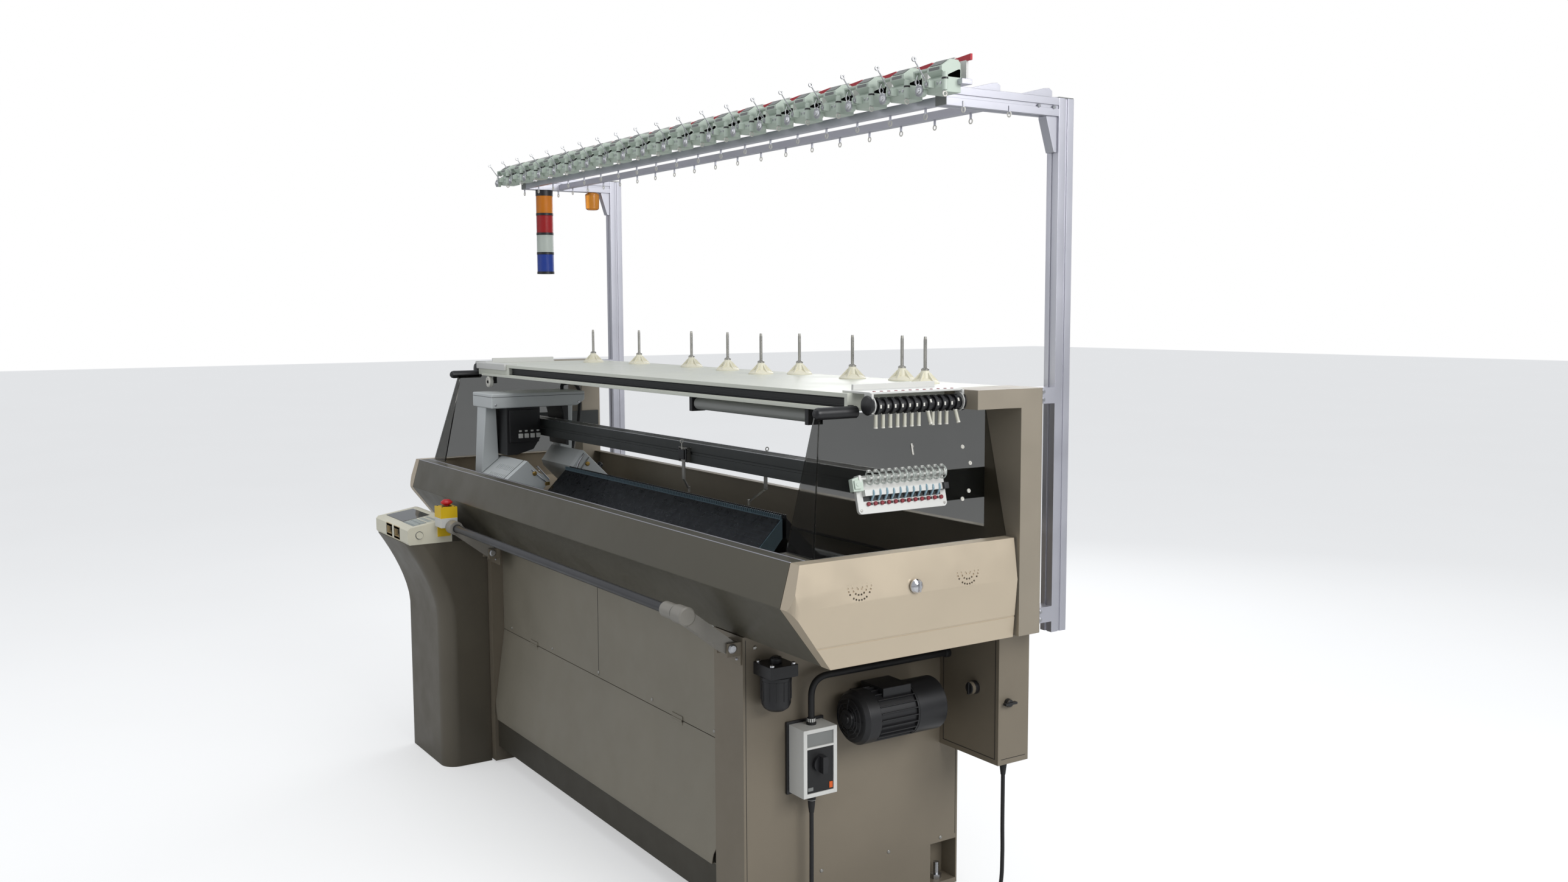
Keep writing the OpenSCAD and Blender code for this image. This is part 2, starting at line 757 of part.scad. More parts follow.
// Comb of upright teeth along the bed
module comb() {
    translate([-bed_len / 2, 0, 0]) rotate([90, 0, 0]) linear_extrude(4, center = true) polygon(concat(
        [[0, 0]],
        [for (i = [0:comb_teeth - 1]) for (p = [[0.15, 3], [0.15, tooth_h], [0.6, tooth_h], [0.6, 3]])
            [(i + p[0]) * tooth_pitch, p[1]]],
        [[bed_len, 0]]));
}

module front_needle_bed() {
    color("#54656c") translate([0, bed_y - bed_gap / 2, 0]) needle_bed(0);
}

module rear_needle_bed() {
    color("#2b2b2e") translate([0, bed_y + bed_gap / 2, 0]) mirror([0, 1, 0]) needle_bed(0.3);
}

module carriage_rails() {
    color("silver") for (y = [-rail_front, rail_rear]) rod_x([-frame_x, frame_x], y, rail_z, rail_d);
}

slider_w = 70;
cam_x = [-park_x - cam_len / 2, -park_x + cam_len / 2];

// Rail slider of a cam box, bored for its rail
module slider(y) {
    difference() {
        span(cam_x, [y - slider_w / 2, y + slider_w / 2], [rail_z - 35, rail_z + 40]);
        rod_x([cam_x[0] - 1, cam_x[1] + 1], y, rail_z, rail_d + 2 * fit);
    }
}

front_ridge = [-115, 1080];
rear_ridge = [100, 1105];

// Cam boxes of the carriage, one over each needle bed
module cam_boxes() {
    color("#aab0ad") union() {
        difference() {
            translate([-park_x, 0, 0]) along_x(cam_len) polygon([
                [-30, 1003], [-40, 1020], [-72, 1035], front_ridge, front_eave,
                [-236, rail_z + 39], [-93, rail_z + 40]]);
            for (row = [0, 1]) for (i = [0:9])
                translate([cam_x[0] + 105 + i * 16, -150 - row * 34, front_ridge[1] - 33 - row * 27])
                    rotate([38, 0, 0]) cube([5, 22, 12], center = true);
        }
        translate([-park_x, 0, 0]) along_x(cam_len) polygon([
            [66, 1027], [58, 1050], rear_ridge, rear_eave, [296, 967], [296, rail_z + 39], [153, rail_z + 40]]);
        slider(-rail_front);
        slider(rail_rear);
        span([-park_x - 30, -park_x + 30], [rail_rear + 30, pulley_y + 9], [rail_z + pulley_d / 2 + 7, rail_z + 48]);
    }
}

bridge_x = [cam_x[0] - 50, cam_x[1] - 140];
front_eave = [-236, 985];
rear_eave = [238, 967];

// Height of a cam box's roof at a place on Y
function roof(ridge, eave, y) = ridge[1] + (y - ridge[0]) * (eave[1] - ridge[1]) / (eave[0] - ridge[0]);

// Bridge of the carriage: two pillars and the top arm over the yarn rail
module carriage_frame() {
    y0 = -185;
    y1 = 175;
    color("#a9b0ae") union() {
        translate([(bridge_x[0] + bridge_x[1]) / 2, 0, 0]) along_x(bridge_x[1] - bridge_x[0]) polygon([
            [y0, arm_z], [y1 - 30, arm_z], [y1, arm_z + 20], [y1, arm_z + arm_h], [y0, arm_z + arm_h]]);
        translate([(bridge_x[0] + bridge_x[1]) / 2 + 4, 0, 0]) along_x(bridge_x[1] - bridge_x[0] - 20) polygon([
            [y0 + 5, arm_z], [-146, arm_z], [-128, roof(front_ridge, front_eave, -128)],
            [y0 - 9, roof(front_ridge, front_eave, y0 - 9)]]);
        translate([(bridge_x[0] + bridge_x[1]) / 2 + 4, 0, 0]) along_x(bridge_x[1] - bridge_x[0] - 20) polygon([
            [112, arm_z], [160, arm_z], [160, roof(rear_ridge, rear_eave, 160)],
            [112, roof(rear_ridge, rear_eave, 112)]]);
    }
}

pulley_x = 1110;
pulley_y = 334;
pulley_d = 70;
pulley_bore = 12;
belt_t = 3;

module drive_pulley() { color("dimgray") pulley(-pulley_x); }
module idler_pulley() { color("dimgray") pulley(pulley_x); }

// Belt pulley with two flanges
module pulley(x) {
    difference() {
        union() {
            rod_y(x, [pulley_y - 10, pulley_y + 10], rail_z, pulley_d);
            for (y = [pulley_y - 13, pulley_y + 10]) rod_y(x, [y, y + 3], rail_z, pulley_d + 10);
        }
        rod_y(x, [pulley_y - 20, pulley_y + 20], rail_z, pulley_bore);
    }
}

module carriage_belt() {
    color(black) translate([0, pulley_y, rail_z]) rotate([90, 0, 0]) linear_extrude(18, center = true)
        difference() {
            belt_loop(pulley_d / 2 + belt_t);
            belt_loop(pulley_d / 2 + 0.3);
        }
}

module belt_loop(r) {
    union() {
        translate([-pulley_x, -r]) square([2 * pulley_x, 2 * r]);
        for (s = [1, -1]) translate([s * pulley_x, 0]) circle(r, $fn = 64);
    }
}

roller_y = [5, 55];
roller_z = 750;
roller_d = 44;
roller_shaft_d = 20;
roller_seat = 20;

module takedown_roller(y) {
    color("#3a3a3a") union() {
        rod_x([-inner_x + 6, inner_x - 6], y, roller_z, roller_d);
        rod_x([-inner_x - roller_seat + 1, inner_x + roller_seat - 1], y, roller_z, roller_shaft_d);
    }
}

module takedown_roller_front() { takedown_roller(roller_y[0]); }
module takedown_roller_rear() { takedown_roller(roller_y[1]); }

yarn_y = [22, 76];
yarn_z = [1150, 1198];

// Yarn rail over the gap, grooved on both faces, with an end plate at each end frame
module yarn_rail() {
    color("#2f3331") union() {
        difference() {
            span([-frame_x + 8, frame_x - 8], yarn_y, yarn_z);
            for (y = yarn_y) translate([0, y, 1180]) cube([2 * frame_x, 6, 8], center = true);
        }
        both_ends() span([frame_x - 8, frame_x], [yarn_y[0] - 20, frame_rear - 10], [1136, 1212]);
    }
}

feeder_x = [180, 520];

// Yarn feeder: a slider on the rail and a thin arm down to its tip over the gap
module feeder(x, side) {
    y = side > 0 ? yarn_y[1] : yarn_y[0];
    translate([x, y, 0]) mirror([0, side > 0 ? 0 : 1, 0]) union() {
        span([-26, 26], [0.3, 12], [1152, 1196]);
        span([-20, 20], [-2.2, 1], [1177, 1183]);
        span([-7, 7], [8, 12], [1100, 1160]);
        along_x(10) polygon([[8, 1101], [12, 1101], [side > 0 ? -43 : -5, 1070], [side > 0 ? -48 : -10, 1070]]);
        translate([0, side > 0 ? -46 : -8, 1060]) cylinder(h = 16, d = 7, $fn = 24);
    }
}

module yarn_feeder_1() { color("dimgray") feeder(feeder_x[0], -1); }
module yarn_feeder_2() { color("dimgray") feeder(feeder_x[1], 1); }

// Control column in front of the left pedestal; its front curves out under the panel
column_x = [-1160, -1160 + column_w];
column_top = 808;
col_front = -350;
col_reach = 165;
curve_z = 600;

module control_column() {
    color("#6d6860") translate([(column_x[0] + column_x[1]) / 2, 0, 0]) along_x(column_w) polygon(concat(
        [[base_front, 0], [col_front, 0]],
        [for (k = [0:8]) [col_front - col_reach * pow(k / 8, 1.6), curve_z + (column_top - curve_z) * k / 8]],
        [[-262, column_top], [base_front, column_top - 20]]));
}

// Ivory operating panel with a sloped top, a screen recess and two slots in its front
panel_x = [column_x[0] - 6, column_x[1] + 6];
panel_front = col_front - col_reach - 3;
panel_rear = panel_front + panel_d;

module control_panel() {
    slot_w = 52;
    color(ivory) difference() {
        translate([(panel_x[0] + panel_x[1]) / 2, 0, 0]) along_x(panel_x[1] - panel_x[0]) polygon([
            [panel_front + 6, column_top], [panel_rear, column_top], [panel_rear, column_top + 78],
            [panel_rear - 10, column_top + 80], [panel_front + 8, column_top + 58], [panel_front, column_top + 50],
            [panel_front, column_top + 8]]);
        for (x = [panel_x[0] + 130, panel_x[0] + 215])
            span([x, x + slot_w], [panel_front - 1, panel_front + 24], [column_top + 16, column_top + 42]);
        translate([panel_x[0] + 36, panel_front + 30, column_top + 64]) rotate([8.1, 0, 0])
            cube([170, 96, 20]);
        translate([panel_x[0] + 226, panel_front + 30, column_top + 64]) rotate([8.1, 0, 0])
            cube([108, 96, 20]);
        rod_x([panel_x[1] - 12, panel_x[1] + 1], button_y, button_z, button_d + 2 * fit);
    }
}

button_y = panel_front + 40;
button_z = column_top + 32;
button_d = 18;
button_travel = 2;

// Push button in the right side of the panel
module panel_button() {
    color(black) union() {
        rod_x([panel_x[1] - 9, panel_x[1] + 6], button_y, button_z, button_d);
        rod_x([panel_x[1] + button_travel + 0.5, panel_x[1] + 6], button_y, button_z, button_d + 5);
    }
}

stop_x = panel_x[1] + 32;
stop_y = -390;
stop_top = 938;
stem_d = 18;

module estop_box() {
    color("#d8b400") difference() {
        union() {
            span([panel_x[1], panel_x[1] + 64], [stop_y - 32, stop_y + 26], [column_top + 60, stop_top]);
            span([panel_x[1], panel_x[1] + 5], [stop_y - 24, stop_y + 20], [column_top + 22, column_top + 61]);
        }
        translate([stop_x, stop_y, stop_top - 30]) cylinder(h = 40, d = stem_d + 2 * fit);
    }
}

module estop_button() {
    color("#b51f26") translate([stop_x, stop_y, stop_top]) union() {
        translate([0, 0, -24]) cylinder(h = 36, d = stem_d);
        translate([0, 0, stop_travel + 2]) rotate_extrude($fn = 64)
            polygon([[0, 0], [stop_d / 2 - 6, 0], [stop_d / 2, 5], [stop_d / 2, 9], [stop_d / 2 - 5, 14],
                [stop_d / 4, 17], [0, 18]]);
    }
}

bar_y = -385;
bar_x = [-735, 860];
pivot = [-262, 775];
pivot_d = 14;
bar_arm_w = 42;

arm_x = [bar_x[0] + bar_arm_w / 2, bar_x[1] + bar_arm_w / 2];
bar_ends = [bar_x[0] + 4, bar_x[1] + bar_arm_w / 2];

module operating_bar() {
    color("#3c3c3e") rod_x([bar_ends[0] + 0.5, bar_ends[1] - 0.5], bar_y, bar_z, bar_d);
}

// Arms that carry the bar, each on a pin of its bracket
module bar_arms() {
    dy = pivot[0] - bar_y;
    dz = bar_z - pivot[1];
    reach = sqrt(dy * dy + dz * dz);
    color("#87807a") for (x = arm_x) difference() {
        union() {
            translate([x, pivot[0], pivot[1]]) rotate([atan2(dz, dy) * -1, 0, 0])
                translate([-bar_arm_w / 2, -reach, -18]) cube([bar_arm_w, reach, 36]);
            rod_x([x - bar_arm_w / 2, x + bar_arm_w / 2], pivot[0], pivot[1], 36);
            rod_x([x - bar_arm_w / 2, x + bar_arm_w / 2], bar_y, bar_z, 46);
            if (x > 0) rod_x([x - bar_arm_w / 2 - 60, x], bar_y, bar_z, 40);
        }
        rod_x([x - bar_arm_w, x + bar_arm_w], pivot[0], pivot[1], pivot_d + 2 * fit);
        rod_x(bar_ends, bar_y, bar_z, bar_d + 2 * fit);
    }
}

// Forked brackets on the pedestals, with the pins of the bar arms
module bar_brackets() {
    color("#7a756c") for (x = arm_x) union() {
        for (s = [1, -1]) translate([x + s * (bar_arm_w / 2 + 4.5), 0, 0])
            span([-3.5, 3.5], [pivot[0] - 14, base_front], [pivot[1] - 20, pivot[1] + 14]);
        rod_x([x - bar_arm_w / 2 - 8, x + bar_arm_w / 2 + 8], pivot[0], pivot[1], pivot_d);
        span([x < 0 ? -inner_x - 30 : x - bar_arm_w / 2 - 8, x + bar_arm_w / 2 + 8], [base_front - 4, base_front],
            [pivot[1] - 45, pivot[1] + 14]);
    }
}

iso_y = [-105, -5];
iso_z = [385, 560];
iso_depth = 70;
iso_mid = [(iso_y[0] + iso_y[1]) / 2, 470];
handle_d = 44;

module isolator_box() {
    color("#e4e4e0") difference() {
        union() {
            span([base_x, base_x + 8], [iso_y[0] - 6, iso_y[1] + 6], [iso_z[0] - 6, iso_z[1] + 6]);
            span([base_x + 8, base_x + iso_depth], iso_y, iso_z);
            span([base_x + iso_depth, base_x + iso_depth + 3], [iso_y[0] + 14, iso_y[1] - 14], [430, 510]);
            translate([cord_x, iso_mid[0], iso_z[1]]) cylinder(h = 16, d = 22);
            translate([cord_x, iso_mid[0], iso_z[0] - 22]) cylinder(h = 22, d = 22);
        }
        rod_x([base_x + iso_depth - 20, base_x + iso_depth + 5], iso_mid[0], iso_mid[1], 10 + 2 * fit);
    }
}

module isolator_handle() {
    color(black) union() {
        rod_x([base_x + iso_depth - 18, base_x + iso_depth + 8], iso_mid[0], iso_mid[1], 10);
        rod_x([base_x + iso_depth + 3.3, base_x + iso_depth + 12], iso_mid[0], iso_mid[1], handle_d);
        span([base_x + iso_depth + 12, base_x + iso_depth + 28], [iso_mid[0] - 7, iso_mid[0] + 7],
            [iso_mid[1] - 21, iso_mid[1] + 21]);
    }
}

// Oil tank on its wall bracket, with a filler on top
module oil_tank() {
    color(black) union() {
        span([base_x, base_x + 6], [-205, -125], [600, 770]);
        translate([base_x + 42, -165, 590]) cylinder(h = 118, d1 = 62, d2 = 72);
        span([base_x + 5, base_x + 76], [-204, -126], [706, 730]);
        translate([base_x + 42, -165, 728]) cylinder(h = 22, d = 26);
        rod_y(base_x + 42, [-178, -140], 744, 12);
    }
}

motor_x = base_x + 10 + motor_d / 2;
motor_y = [-2, 338];
motor_z = 570;

// Drive motor along the machine's depth: fan cowl, ribbed body, end bell, terminal box and foot
module motor() {
    color(black) union() {
        rod_y(motor_x, [motor_y[0] + 40, motor_y[1] - 30], motor_z, motor_d - 14);
        rod_y(motor_x, [motor_y[1] - 90, motor_y[1]], motor_z, motor_d);
        translate([motor_x, motor_y[0] + 62, motor_z]) rotate([90, 0, 0]) rotate_extrude($fn = 64)
            polygon([[0, 0], [motor_d / 2, 0], [motor_d / 2, 34], [motor_d / 2 - 8, 46], [26, 52], [24, 62], [0, 62]]);
        for (a = [0:15:345]) translate([motor_x, 0, motor_z]) rotate([0, a, 0])
            span([-1.5, 1.5], [motor_y[0] + 64, motor_y[1] - 92], [motor_d / 2 - 10, motor_d / 2]);
        span([cord_x - 12, motor_x + 40], [85, 165], [motor_z + motor_d / 2 - 26, terminal_z]);
        span([base_x, motor_x - 30], [90, 250], [motor_z - 50, motor_z + 50]);
    }
}

cord_x = base_x + 35;
conduit_d = 14;
conduit_top = 706;
conduit_r = 48;
terminal_z = motor_z + motor_d / 2 + 4;

// Black conduit from the isolator over to the motor's terminal box, with a sleeve at each join
module conduit() {
    y0 = iso_mid[0];
    y1 = 125;
    bend_end = conduit_top - conduit_r;
    color(black) union() {
        translate([cord_x, y0, iso_z[1] + 16]) cylinder(h = bend_end - iso_z[1] - 18, d = conduit_d);
        translate([cord_x, y0 + conduit_r, bend_end]) elbow(180);
        rod_y(cord_x, [y0 + conduit_r + 2, y1 - conduit_r - 2], conduit_top, conduit_d);
        translate([cord_x, y1 - conduit_r, bend_end]) elbow(90);
        translate([cord_x, y1, terminal_z]) cylinder(h = bend_end - terminal_z - 2, d = conduit_d);
        for (y = [y0, y1]) translate([cord_x, y, bend_end - 8]) cylinder(h = 14, d = conduit_d + 4);
        for (y = [y0 + conduit_r, y1 - conduit_r]) rod_y(cord_x, [y - 7, y + 7], conduit_top, conduit_d + 4);
        translate([cord_x, y1, terminal_z]) cylinder(h = 12, d = conduit_d + 8);
    }
}

// Quarter bend in the plane of Y and Z
module elbow(start) {
    rotate([start - 90, 0, 0]) rotate([0, 90, 0]) rotate([0, 0, 90])
        rotate_extrude(angle = 90) translate([conduit_r, 0]) circle(d = conduit_d);
}

// Route of the supply cord: down from the isolator, along the floor and up into the rear box
cord_d = 11;
cord_route = [
    [950, -55, 363], [950, -55, 300], [950, -55, 220], [951, -56, 140], [954, -58, 80],
    [966, -56, 36], [990, -46, 12], [1022, -20, 6], [1060, 30, 6], [1092, 100, 6],
    [1112, 180, 6], [1120, 260, 6], [1122, 330, 6], [1120, 390, 10], [1116, 428, 34],
    [1113, 444, 80], [1111, 450, 150], [1110, 450, 240], [1110, 450, 330], [1110, 450, 420]];

function cord_dir(i) = let (a = cord_route[max(i - 1, 0)], b = cord_route[min(i + 1, len(cord_route) - 1)])
    (b - a) / norm(b - a);
function cord_side(i) = let (d = cord_dir(i), s = cross(d, [0.3, -0.6, 0.2])) s / norm(s);

module supply_cord() {
    sides = 10;
    n = len(cord_route);
    points = [for (i = [0:n - 1]) let (s = cord_side(i), t = cross(cord_dir(i), s))
        for (k = [0:sides - 1]) cord_route[i] + cord_d / 2 * (cos(k * 360 / sides) * s + sin(k * 360 / sides) * t)];
    faces = concat(
        [[for (k = [0:sides - 1]) k]],
        [for (i = [0:n - 2]) for (k = [0:sides - 1])
            let (a = i * sides + k, b = i * sides + (k + 1) % sides) [a, a + sides, b + sides, b]],
        [[for (k = [sides - 1:-1:0]) (n - 1) * sides + k]]);
    color(black) polyhedron(points, faces, convexity = 4);
}

// Cone stands that rest on the table
spindle_places = [[-960, 260], [-700, 320], [-330, 330], [-40, 300], [240, 250], [330, 330],
    [640, 300], [800, 350], [960, 300]];

module spindle_stands() {
    color(ivory) for (p = spindle_places) translate([p[0], p[1], table_z]) union() {
        rotate_extrude($fn = 48) polygon([
            [0, 0], [38, 0], [38, 3], [30, 8], [16, 14], [12, 30], [10, 34], [4, 36], [4, 118], [2, 122], [0, 122]]);
        for (a = [0:60:300]) rotate([0, 0, a]) translate([0, 0, 2])
            rotate([90, 0, 0]) linear_extrude(2, center = true) polygon([[10, 0], [36, 3], [14, 26], [10, 26]]);
    }
}

right_pedestal();
left_pedestal();
levelling_feet();
bed_frame();
front_upper_panel();
front_lower_panel();
bottom_rail();
rear_panels();
front_cover();
right_end_cover();
left_end_cover();
rear_cover();
right_end_frame();
left_end_frame();
table();
windows();
window_trims();
stand_posts();
stand_arms();
stand_rails();
tension_units();
warning_strip();
tower_frame();
tower_lenses();
amber_cup();
guide_bars();
guide_strips();
window_plate();
front_needle_bed();
carriage_rails();
yarn_rail();
control_column();
control_panel();
estop_box();
isolator_box();
oil_tank();
motor();
conduit();
supply_cord();
spindle_stands();
bar_brackets();
carriage_belt();
rear_needle_bed();
carriage_frame();
cam_boxes();
operating_bar();
bar_arms();
yarn_feeder_1();
yarn_feeder_2();
estop_button();
isolator_handle();
lock_knob();
guide_tubes();
window_levers();
tension_levers();
drive_pulley();
idler_pulley();
takedown_roller_front();
takedown_roller_rear();
panel_button();
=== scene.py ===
"""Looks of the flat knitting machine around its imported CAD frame."""

import math

import bmesh
import bpy
from mathutils import Matrix, Vector


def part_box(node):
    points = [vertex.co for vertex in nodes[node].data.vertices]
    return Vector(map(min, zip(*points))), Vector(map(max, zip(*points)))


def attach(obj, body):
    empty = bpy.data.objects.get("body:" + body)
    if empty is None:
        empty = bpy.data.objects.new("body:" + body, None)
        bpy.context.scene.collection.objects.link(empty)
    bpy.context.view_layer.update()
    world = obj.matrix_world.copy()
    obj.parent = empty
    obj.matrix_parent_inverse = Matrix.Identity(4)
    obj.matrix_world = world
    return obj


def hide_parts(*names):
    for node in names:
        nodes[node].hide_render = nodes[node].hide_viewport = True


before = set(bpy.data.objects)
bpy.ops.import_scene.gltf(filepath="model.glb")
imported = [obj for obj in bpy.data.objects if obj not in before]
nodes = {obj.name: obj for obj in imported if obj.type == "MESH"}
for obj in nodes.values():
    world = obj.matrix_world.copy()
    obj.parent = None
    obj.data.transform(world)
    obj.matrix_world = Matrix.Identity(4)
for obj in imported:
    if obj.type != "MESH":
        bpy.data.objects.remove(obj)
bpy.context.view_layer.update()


# Camera, solved from the photograph's vanishing points
CAMERA_PLACE = (3.68, -1.925, 1.6)
CAMERA_AZIMUTH = 56.73
CAMERA_PITCH = -5.54
CAMERA_ROLL = 0.25
FOCAL_PIXELS = 2205
PHOTO_WIDTH = 2576
SENSOR = 36.0

camera_data = bpy.data.cameras.new("camera")
camera = bpy.data.objects.new("camera", camera_data)
bpy.context.scene.collection.objects.link(camera)
camera_data.sensor_width = SENSOR
camera_data.lens = SENSOR * FOCAL_PIXELS / PHOTO_WIDTH
camera.location = CAMERA_PLACE
turn = Matrix.Rotation(math.radians(CAMERA_AZIMUTH), 3, "Z")
tilt = Matrix.Rotation(math.radians(90 + CAMERA_PITCH), 3, "X")
roll = Matrix.Rotation(math.radians(-CAMERA_ROLL), 3, "Z")
camera.rotation_euler = (turn @ tilt @ roll).to_euler()
bpy.context.scene.camera = camera


# Materials

def rgb(r, g, b):
    """Linear colour from 0 to 255 values."""
    out = []
    for v in (r, g, b):
        v = v / 255
        out.append(v / 12.92 if v <= 0.04045 else ((v + 0.055) / 1.055) ** 2.4)
    return (*out, 1.0)


def shade(colour, factor):
    return tuple(min(1.0, c * factor) for c in colour[:3]) + (1.0,)


class Finish:
    """A node-based material: a Principled shader with helpers for its inputs."""

    def __init__(self, name, colour, rough=0.5, metallic=0.0, **extra):
        self.mat = bpy.data.materials.new(name)
        self.mat.use_nodes = True
        self.tree = self.mat.node_tree
        self.shader = self.tree.nodes["Principled BSDF"]
        self.colour = colour
        self.set("Base Color", colour)
        self.set("Roughness", rough)
        self.set("Metallic", metallic)
        for key, value in extra.items():
            self.set(key.replace("_", " ").title(), value)
        self.coords = self.tree.nodes.new("ShaderNodeTexCoord")
        self.normal = None

    def set(self, socket, value):
        self.shader.inputs[socket].default_value = value

    def node(self, kind, **values):
        n = self.tree.nodes.new(kind)
        for key, value in values.items():
            if key in n.inputs:
                n.inputs[key].default_value = value
            else:
                setattr(n, key, value)
        return n

    def link(self, a, b):
        self.tree.links.new(a, b)

    def space(self, stretch=(1, 1, 1)):
        m = self.node("ShaderNodeMapping")
        m.inputs["Scale"].default_value = stretch
        self.link(self.coords.outputs["Object"], m.inputs["Vector"])
        return m.outputs["Vector"]

    def noise(self, scale, detail=3.0, stretch=(1, 1, 1)):
        n = self.node("ShaderNodeTexNoise", Scale=scale, Detail=detail)
        self.link(self.space(stretch), n.inputs["Vector"])
        return n.outputs["Fac"]

    def ramp(self, value, stops):
        r = self.node("ShaderNodeValToRGB")
        elements = r.color_ramp.elements
        while len(elements) < len(stops):
            elements.new(0.5)
        for e, (place, colour) in zip(elements, stops):
            e.position = place
            e.color = colour
        self.link(value, r.inputs["Fac"])
        return r.outputs["Color"]

    def vary(self, scale=3.0, amount=0.12, detail=4.0, stretch=(1, 1, 1)):
        """The colour drifts a little over the surface."""
        low = shade(self.colour, 1 - amount)
        high = shade(self.colour, 1 + amount * 0.7)
        self.link(self.ramp(self.noise(scale, detail, stretch), [(0.3, low), (0.7, high)]),
                  self.shader.inputs["Base Color"])
        return self

    def rough_between(self, low, high, scale=14.0, stretch=(1, 1, 1)):
        self.link(self.ramp(self.noise(scale, 4.0, stretch),
            [(0.3, (low,) * 3 + (1,)), (0.7, (high,) * 3 + (1,))]), self.shader.inputs["Roughness"])
        return self

    def bump(self, height, strength=0.2, distance=0.001):
        b = self.node("ShaderNodeBump", Strength=strength, Distance=distance)
        self.link(height, b.inputs["Height"])
        if self.normal:
            self.link(self.normal, b.inputs["Normal"])
        self.normal = b.outputs["Normal"]
        self.link(self.normal, self.shader.inputs["Normal"])
        return self

    def peel(self, scale=900.0, strength=0.12, distance=0.0004, stretch=(1, 1, 1)):
        """Fine grain of paint or moulded plastic."""
        return self.bump(self.noise(scale, 2.0, stretch), strength, distance)

    def use(self, *names):
        for name in names:
            mesh = nodes[name].data if name in nodes else bpy.data.objects[name].data
            mesh.materials.clear()
            mesh.materials.append(self.mat)
        return self


def paint(name, colour, rough=0.42, metallic=0.0, amount=0.08):
    f = Finish(name, colour, rough, metallic).vary(2.5, amount)
    f.rough_between(rough - 0.06, rough + 0.08, 9.0)
    return f.peel(700.0, 0.1, 0.0003)


def plastic(name, colour, rough, drift, grain):
    return Finish(name, rgb(*colour), rough).vary(*drift).peel(*grain)


# The front cover and the end covers share one champagne metallic paint: the front cover's darker copy is
# painted shade on its front face, the end covers' lighter copy is painted light from the right
shaded_champagne = paint("champagne_painted_shade", rgb(96, 92, 80), 0.36, 0.55, 0.07)
lit_champagne = paint("champagne_painted_light", rgb(196, 182, 160), 0.38, 0.45, 0.05)
frame_paint = paint("taupe_metallic", rgb(150, 141, 126), 0.42, 0.35, 0.06)
base_paint = paint("base_paint", rgb(126, 117, 102), 0.45, 0.25, 0.09)
panel_paint = paint("panel_paint", rgb(138, 132, 118), 0.42, 0.3, 0.07)
column_paint = paint("column_paint", rgb(104, 98, 86), 0.4, 0.4, 0.08)
rail_paint = paint("bottom_rail_paint", rgb(70, 66, 56), 0.45, 0.3, 0.1)
cream = paint("cream_paint", rgb(208, 210, 198), 0.35, 0.0, 0.03)
carriage_paint = paint("carriage_paint", rgb(196, 200, 200), 0.4, 0.15, 0.05)
bed_paint = paint("bed_paint", rgb(92, 112, 122), 0.45, 0.4, 0.12)
dark_bed = paint("dark_bed", rgb(52, 54, 56), 0.38, 0.6, 0.15)
dark_paint = paint("dark_paint", rgb(52, 55, 54), 0.42, 0.2, 0.1)
black_paint = paint("black_paint", rgb(30, 30, 32), 0.4, 0.1, 0.15)
bar_paint = paint("bar_paint", rgb(62, 62, 64), 0.36, 0.3, 0.08)
arm_paint = paint("arm_paint", rgb(150, 146, 138), 0.42, 0.3, 0.08)

alu = Finish("anodised_aluminium", rgb(196, 196, 204), 0.38, 0.85)
alu.vary(2.0, 0.05).rough_between(0.32, 0.46, 5.0).peel(260.0, 0.08, 0.0004, (12, 12, 0.6))
steel = Finish("ground_steel", rgb(186, 187, 190), 0.26, 1.0)
steel.vary(6.0, 0.08).rough_between(0.2, 0.34, 20.0).peel(400.0, 0.1, 0.0003, (0.3, 4, 4))
chrome = Finish("chrome_plate", rgb(215, 215, 218), 0.1, 1.0)
chrome.rough_between(0.07, 0.16, 30.0).vary(20.0, 0.04)
pale_steel = Finish("pin_steel", rgb(170, 168, 162), 0.3, 0.9)
pale_steel.vary(9.0, 0.1).rough_between(0.24, 0.4, 25.0)
brass = Finish("brass", rgb(190, 158, 92), 0.3, 0.95).vary(9.0, 0.12).rough_between(0.24, 0.42, 25.0)

mint = plastic("mint_plastic", (186, 198, 186), 0.44, (8.0, 0.07), (1200.0, 0.12, 0.0003))
ivory = plastic("ivory_plastic", (222, 218, 198), 0.42, (5.0, 0.05), (1100.0, 0.14, 0.0003))
white_plastic = plastic("white_plastic", (206, 206, 202), 0.34, (4.0, 0.04), (900.0, 0.08, 0.0003))
black_plastic = plastic("black_plastic", (26, 26, 28), 0.4, (9.0, 0.2), (1100.0, 0.16, 0.0003))
grey_plastic = plastic("grey_plastic", (120, 122, 120), 0.42, (6.0, 0.08), (1100.0, 0.14, 0.0003))
yellow_plastic = plastic("yellow_plastic", (226, 188, 24), 0.36, (6.0, 0.06), (900.0, 0.1, 0.0003))
red_plastic = plastic("red_plastic", (188, 26, 34), 0.3, (6.0, 0.08), (900.0, 0.08, 0.0003))
strip_red = Finish("strip_red", rgb(176, 26, 44), 0.4).vary(3.0, 0.1, stretch=(3, 1, 1)).peel(700.0, 0.1,
    0.0003)
rubber = plastic("black_rubber", (24, 24, 25), 0.62, (14.0, 0.2), (800.0, 0.2, 0.0004))
clear_plastic = Finish("clear_plastic", rgb(222, 228, 224), 0.12, transmission_weight=0.75)
clear_plastic.vary(12.0, 0.03)

smoke = Finish("smoked_acrylic", rgb(165, 164, 160), 0.06, transmission_weight=1.0)
smoke.set("IOR", 1.1)
smoke.vary(1.2, 0.06).rough_between(0.04, 0.09, 3.0)

